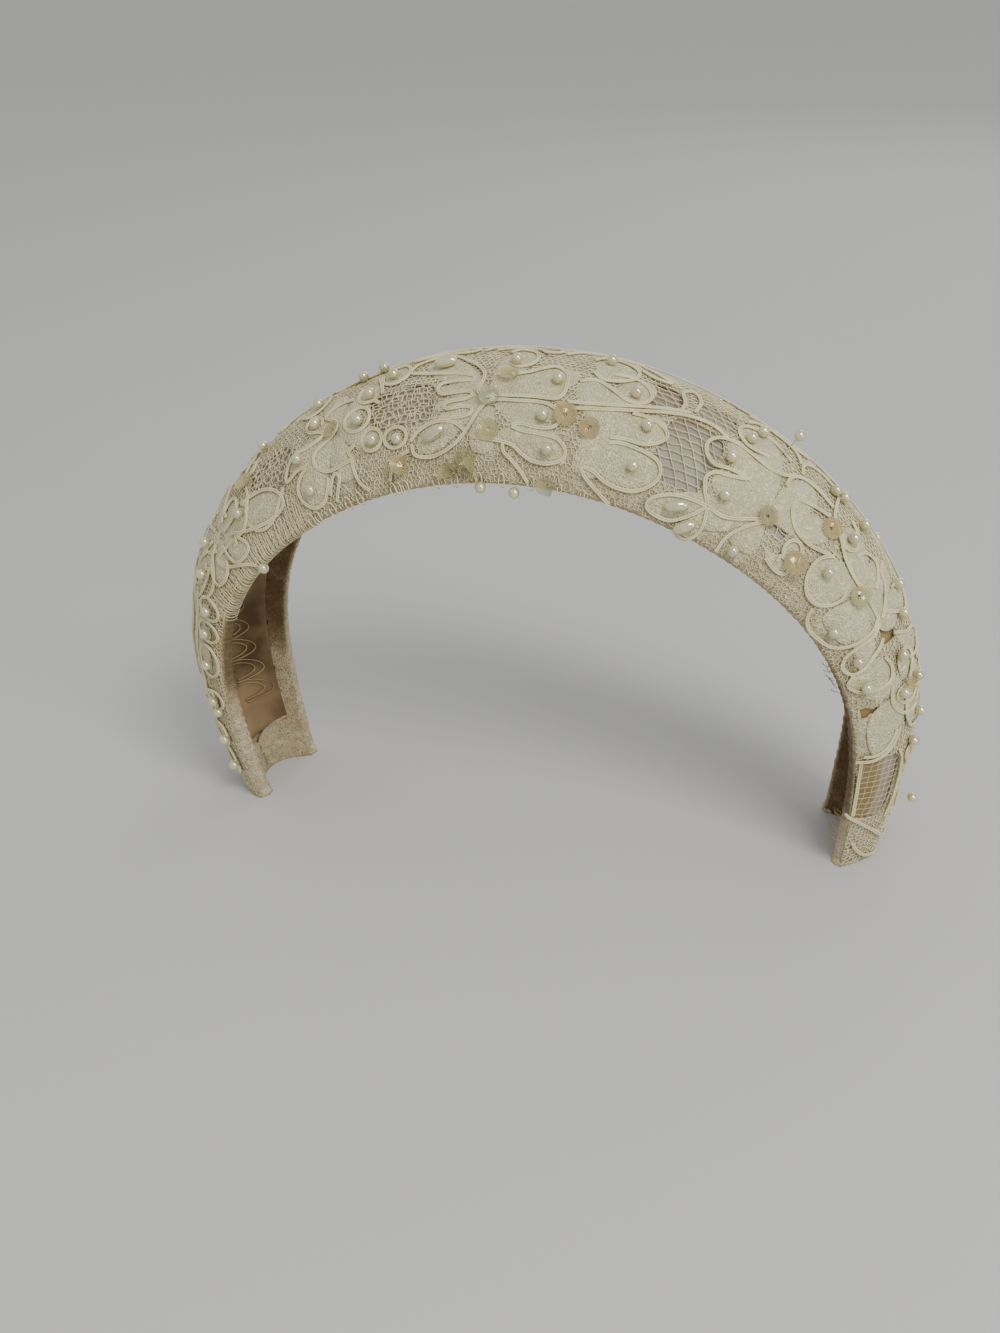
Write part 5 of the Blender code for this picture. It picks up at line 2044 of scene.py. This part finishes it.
def in_windows(along: np.ndarray, across: np.ndarray, grow: float = 1.0) -> np.ndarray:
    """Whether flat places lie in a window of open net.

    Args:
        along: Places along the band.
        across: Places across it.
        grow: Scale of the windows.

    Returns:
        True for each place inside.
    """
    inside = np.zeros(np.shape(along), bool)
    for centre_along, centre_across, half_length, half_width in WINDOWS:
        u = (along - centre_along) / (half_length * grow)
        v = (across - centre_across) / (half_width * grow)
        inside |= u ** 4 + v ** 4 < 1.0
    return inside


@dataclass
class NetPlan(SubAssembly):
    """Which net shows where: four kinds in the windows, and the fine lace between the petals."""

    covers: Sequence[Petal]
    lap: float = 1.12
    foot_lap: float = 1.08
    rim: float = 0.6
    right_run: Row = (20.0, 75.0)
    bare_run: Row = (104.0, 140.0)
    foot_edge: float = -8.0

    def dense(self, along: np.ndarray, across: np.ndarray) -> np.ndarray:
        """Find bare places outside the windows of open net.

        Args:
            along: Places along the band.
            across: Places across it.

        Returns:
            True for each place.
        """
        free = ~in_windows(along, across)
        for petal in self.covers:
            free &= ~petal.holds(along, across, self.rim)
        return free

    def right(self, along: np.ndarray, across: np.ndarray) -> np.ndarray:
        """Places in the windows right of the middle."""
        low, high = self.right_run
        return in_windows(along, across, self.lap) & (along > low) & (along < high)

    def foot(self, along: np.ndarray, across: np.ndarray) -> np.ndarray:
        """Places in the window at the front of the right leg."""
        window = in_windows(along, across, self.foot_lap)
        return window & (along > self.bare_run[1]) & (across < self.foot_edge)

    def left(self, along: np.ndarray, across: np.ndarray) -> np.ndarray:
        """Places in the left windows, where the net is drawn together."""
        return in_windows(along, across) & (along < 0.0)

    def other(self, along: np.ndarray, across: np.ndarray) -> np.ndarray:
        """Find places in all other windows of open net.

        Args:
            along: Places along the band.
            across: Places across it.

        Returns:
            True for each place.
        """
        rest = ~self.right(along, across) & ~self.foot(along, across)
        rest &= (along < self.bare_run[0]) | (along > self.bare_run[1]) | (across > 0.0)
        return in_windows(along, across, self.lap) & rest

    def build(self) -> None:
        """Make each net as a piece, and the fine lace as two."""
        net = self.shop.wardrobe.net
        NetLayer(
            self.shop, "open_net", 2.7, 0.26, -0.26, jitter=0.12, rise=0.06, row_share=0.66, slant=-0.15,
        ).build(net, self.other)
        NetLayer(
            self.shop, "slanted_net", 2.9, 0.24, -0.26, jitter=0.12, rise=0.04, row_share=0.62, slant=-0.75,
            brick=False,
        ).build(net, self.right)
        NetLayer(
            self.shop, "square_net", 1.8, 0.13, -0.26, jitter=0.12, rise=0.04, row_share=1.05, brick=False,
        ).build(net, self.foot)
        NetLayer(
            self.shop, "tangled_net", 1.65, 0.25, -0.18, jitter=0.4, rise=0.2, seed=8,
        ).build(net, self.left)
        NetLayer(
            self.shop, "fine_lace_threads", 1.3, 0.3, 0.02, sides=3, warp=0.35, jitter=0.2, halves=True,
        ).build(self.shop.wardrobe.fine_net, self.dense)


@dataclass
class BeadWork(SubAssembly):
    """Pearls, oat pearls and sequins with their sewing threads."""

    radius: float = 1.3
    seat: float = 0.5
    oat_stretch: float = 2.1
    loose_seat: float = 0.2
    thread_radius: float = 0.14
    round_cut: tuple[int, int] = (20, 12)
    oat_cut: tuple[int, int] = (20, 14)
    sequin_sides: int = 14
    sequin_hole: float = 0.5
    sequin_wall: float = 0.16
    hub_names: tuple[str, ...] = (
        "crown", "crown_left", "crown_right", "shoulder_right", "side_right", "ear_right",
    )
    hub_sequin: Row = (2.3, 14.0, 0.0)

    def build(self) -> None:
        """Make all beads, the threads of those that stand off, and the sequins."""
        pearl = self.shop.finish(self.shop.wardrobe.pearl)
        rows = [self._bead(*spot, self.seat, 0.0, 1.0) for spot in ROUND_PEARLS]
        nodes = ["pearl_%02d" % (index + 1) for index in range(len(rows))]
        self.shop.keep("round_pearls", self.shop.beads.mesh(rows, *self.round_cut, pearl), "pearl", nodes)
        rows = [
            self._bead(along, across, self.seat, turn, self.oat_stretch)
            for along, across, turn in OAT_PEARLS
        ]
        nodes = ["oat_pearl_%d" % (index + 1) for index in range(len(rows))]
        self.shop.keep("oat_pearls", self.shop.beads.mesh(rows, *self.oat_cut, pearl), "pearl", nodes)
        rows = [self._bead(*spot, self.loose_seat, 0.0, 0.96) for spot in LOOSE_PEARLS]
        rows += [self._bead(*spot, 0.0, 0.95) for spot in STALKED_PEARLS]
        self.shop.keep("scattered_pearls", self.shop.beads.mesh(rows, *self.round_cut, pearl), "pearl")
        self._stalks()
        self._sequins()

    def _bead(self, along: float, across: float, seat: float, turn: float, stretch: float
              ) -> tuple[Vector, Vector, Vector, Row]:
        """Place one bead.

        Args:
            along: Place along the band.
            across: Place across it.
            seat: Height of the bead's underside.
            turn: Turn of its long axis in degrees.
            stretch: Length of that axis as a share of the others.

        Returns:
            Centre, axis, outward direction and radii.
        """
        point, run, back, out = self.form.frame_at(along, across, seat + self.radius)
        heading = math.radians(turn)
        axis = run * math.cos(heading) + back * math.sin(heading)
        size = self.radius * MILLIMETRE
        return point, axis, out, (size, size, size * stretch)

    def _stalks(self) -> None:
        """Threads that hold the beads that stand off."""
        lines = []
        for along, across, height in STALKED_PEARLS:
            climb = np.linspace(0.0, height + 0.6, 7)
            lean = 0.35 * np.sin(climb)
            lines.append(np.stack([along + 0.0 * climb, across + lean, climb], axis=1))
        thread = self.shop.wardrobe.bead_thread
        self.shop.string("bead_threads", *chain(lines), thread, self.thread_radius, smooth=False)

    def _sequins(self) -> None:
        """Make the cupped sequins, at the hubs and between the petals."""
        hubs = {row[0]: row[1:3] for row in FLOWERS}
        rows = [(*hubs[name], *self.hub_sequin) for name in self.hub_names]
        points = []
        faces = []
        for index, (along, across, radius, lean, fold) in enumerate(rows + list(SEQUIN_SPOTS)):
            point, run, back, out = self.form.frame_at(along, across, 0.75)
            heading = 2.4 * index
            tip = (run * math.cos(heading) + back * math.sin(heading)).normalized()
            out = (out + tip * math.tan(math.radians(lean))).normalized()
            run = (run - out * run.dot(out)).normalized()
            back = out.cross(run)
            self._cup(points, faces, (point, run, back, out), radius, fold)
        mesh = self.shop.solid("sequins", np.array(points), faces, self.shop.wardrobe.sequin)
        mesh.shade_flat()
        self.shop.keep("sequins", mesh, "sequin", ["sequin_" + name for name in self.hub_names])

    def _cup(self, points: list[Vector], faces: list[Quad], frame: Sequence[Vector], radius: float,
             fold: float) -> None:
        """Add one faceted cup with a hole in it, folded along its middle.

        Args:
            points: Points so far; the cup's are added.
            faces: Faces so far; the cup's are added.
            frame: The cup's centre, and its run, back and outward directions.
            radius: Its radius.
            fold: How far it folds up, as a share of its radius.
        """
        base = len(points)
        centre, run, back, out = frame
        rings = ((self.sequin_hole, 0.0), (radius * 0.55, 0.12), (radius, 0.75))
        count = self.sequin_sides
        for lower in (0.0, self.sequin_wall):
            for reach, rise in rings:
                for side in range(count):
                    turn = math.tau * side / count
                    spoke = run * math.cos(turn) + back * math.sin(turn)
                    crease = 0.5 * math.sin(3.0 * turn + base) * reach / radius
                    lift = rise - lower + fold * (reach * abs(math.cos(turn)) + crease)
                    points.append(centre + (spoke * reach + out * lift) * MILLIMETRE)
        faces += ring_faces(len(rings), count, base)


@dataclass
class Studio:
    """Pale floor, soft light and the camera at the photograph's angle."""

    azimuth: float = 16.95
    elevation: float = 28.1
    roll: float = -3.0
    distance: float = 333.3
    aim_right: float = 4.75
    aim_up: float = 69.05
    focal_pixels: float = 1500.0
    frame_height: float = 1333.0
    sensor: float = 36.0
    floor_colour: Row = (0.56, 0.56, 0.555)
    floor_reach: float = 12.0
    world_colour: Row = (0.74, 0.74, 0.735)
    world_strength: float = 0.9

    def axes(self) -> tuple[Vector, Vector, Vector]:
        """Directions of the camera: right, up and back.

        Returns:
            Three unit directions.
        """
        azimuth, elevation, roll = (math.radians(v) for v in (self.azimuth, self.elevation, self.roll))
        level = math.cos(elevation)
        back = Vector((math.sin(azimuth) * level, -math.cos(azimuth) * level, math.sin(elevation)))
        right = Vector((math.cos(azimuth), math.sin(azimuth), 0.0))
        up = back.cross(right)
        rolled_right = right * math.cos(roll) + up * math.sin(roll)
        rolled_up = up * math.cos(roll) - right * math.sin(roll)
        return rolled_right, rolled_up, back

    def build(self, form: BandForm) -> None:
        """Set up the floor, the lights and the camera.

        Args:
            form: The band's form.
        """
        self._camera(form)
        self._floor()
        self._lights()

    def _camera(self, form: BandForm) -> None:
        """Place the camera where the photograph was taken from.

        Args:
            form: The band's form.
        """
        right, up, back = self.axes()
        origin = Vector((form.side_shift, form.depth_shift, form.crown_height))
        place = origin + back * self.distance - right * self.aim_right - up * self.aim_up
        data = bpy.data.cameras.new("photo camera")
        data.sensor_fit = "VERTICAL"
        data.sensor_height = self.sensor
        data.lens = self.sensor * self.focal_pixels / self.frame_height
        data.clip_start = 0.01
        data.clip_end = 50.0
        camera = place_object("photo camera", data)
        turn = Matrix((right, up, back)).transposed()
        camera.matrix_world = Matrix.Translation(place * MILLIMETRE) @ turn.to_4x4()
        bpy.context.scene.camera = camera

    def _floor(self) -> None:
        """Plain pale floor."""
        mesh = bpy.data.meshes.new("floor")
        reach = self.floor_reach
        corners = [(-reach, -reach, 0.0), (reach, -reach, 0.0), (reach, reach, 0.0), (-reach, reach, 0.0)]
        mesh.from_pydata(corners, [], [(0, 1, 2, 3)])
        material = bpy.data.materials.new("pale floor")
        material.use_nodes = True
        shader = material.node_tree.nodes["Principled BSDF"]
        set_inputs(shader, Base_Color=(*self.floor_colour, 1.0), Roughness=0.9)
        mesh.materials.append(material)
        floor = place_object("floor", mesh)

    def _lights(self) -> None:
        """Soft studio light: even surroundings, a broad light above and a weaker one at the side."""
        world = bpy.data.worlds.new("soft surroundings")
        world.use_nodes = True
        surround = world.node_tree.nodes["Background"]
        set_inputs(surround, Color=(*self.world_colour, 1.0), Strength=self.world_strength)
        bpy.context.scene.world = world
        lamps = (
            # name, place, aim, size, power, colour
            ("broad light", (0.48, -0.52, 0.84), (0.0, 0.0, 0.08), 0.36, 6.6, (1.0, 0.985, 0.955)),
            ("side light", (0.85, -0.5, 0.3), (0.05, 0.0, 0.05), 0.2, 1.4, (0.98, 0.985, 1.0)),
            ("rear light", (0.2, 0.9, 0.6), (0.0, 0.0, 0.08), 0.6, 1.2, (1.0, 1.0, 1.0)),
        )
        for name, place, aim, size, power, colour in lamps:
            data = bpy.data.lights.new(name, "AREA")
            data.energy = power
            data.size = size
            data.color = colour
            lamp = place_object(name, data)
            lamp.location = place
            lamp.rotation_euler = (Vector(aim) - Vector(place)).to_track_quat("-Z", "Y").to_euler()


def main() -> None:
    """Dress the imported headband."""
    logging.basicConfig(level=logging.INFO, format="%(name)s: %(message)s")
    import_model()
    shop = Workshop()
    Studio().build(shop.form)

    SatinBand(shop).build()
    Lining(shop).build()
    for side in Side:
        TurnedLace(shop, side).build()
    FootHems(shop).build()
    flowers = LaceFlowers(shop)
    scrolls = Scrollwork(shop, flowers)
    scrolls.plan()
    LaceGround(shop).build()
    NetPlan(shop, flowers.everyone() + scrolls.leaves).build()
    flowers.build()
    scrolls.build()
    PulledThreads(shop).build()
    BeadWork(shop).build()


if __name__ == "__main__":
    main()
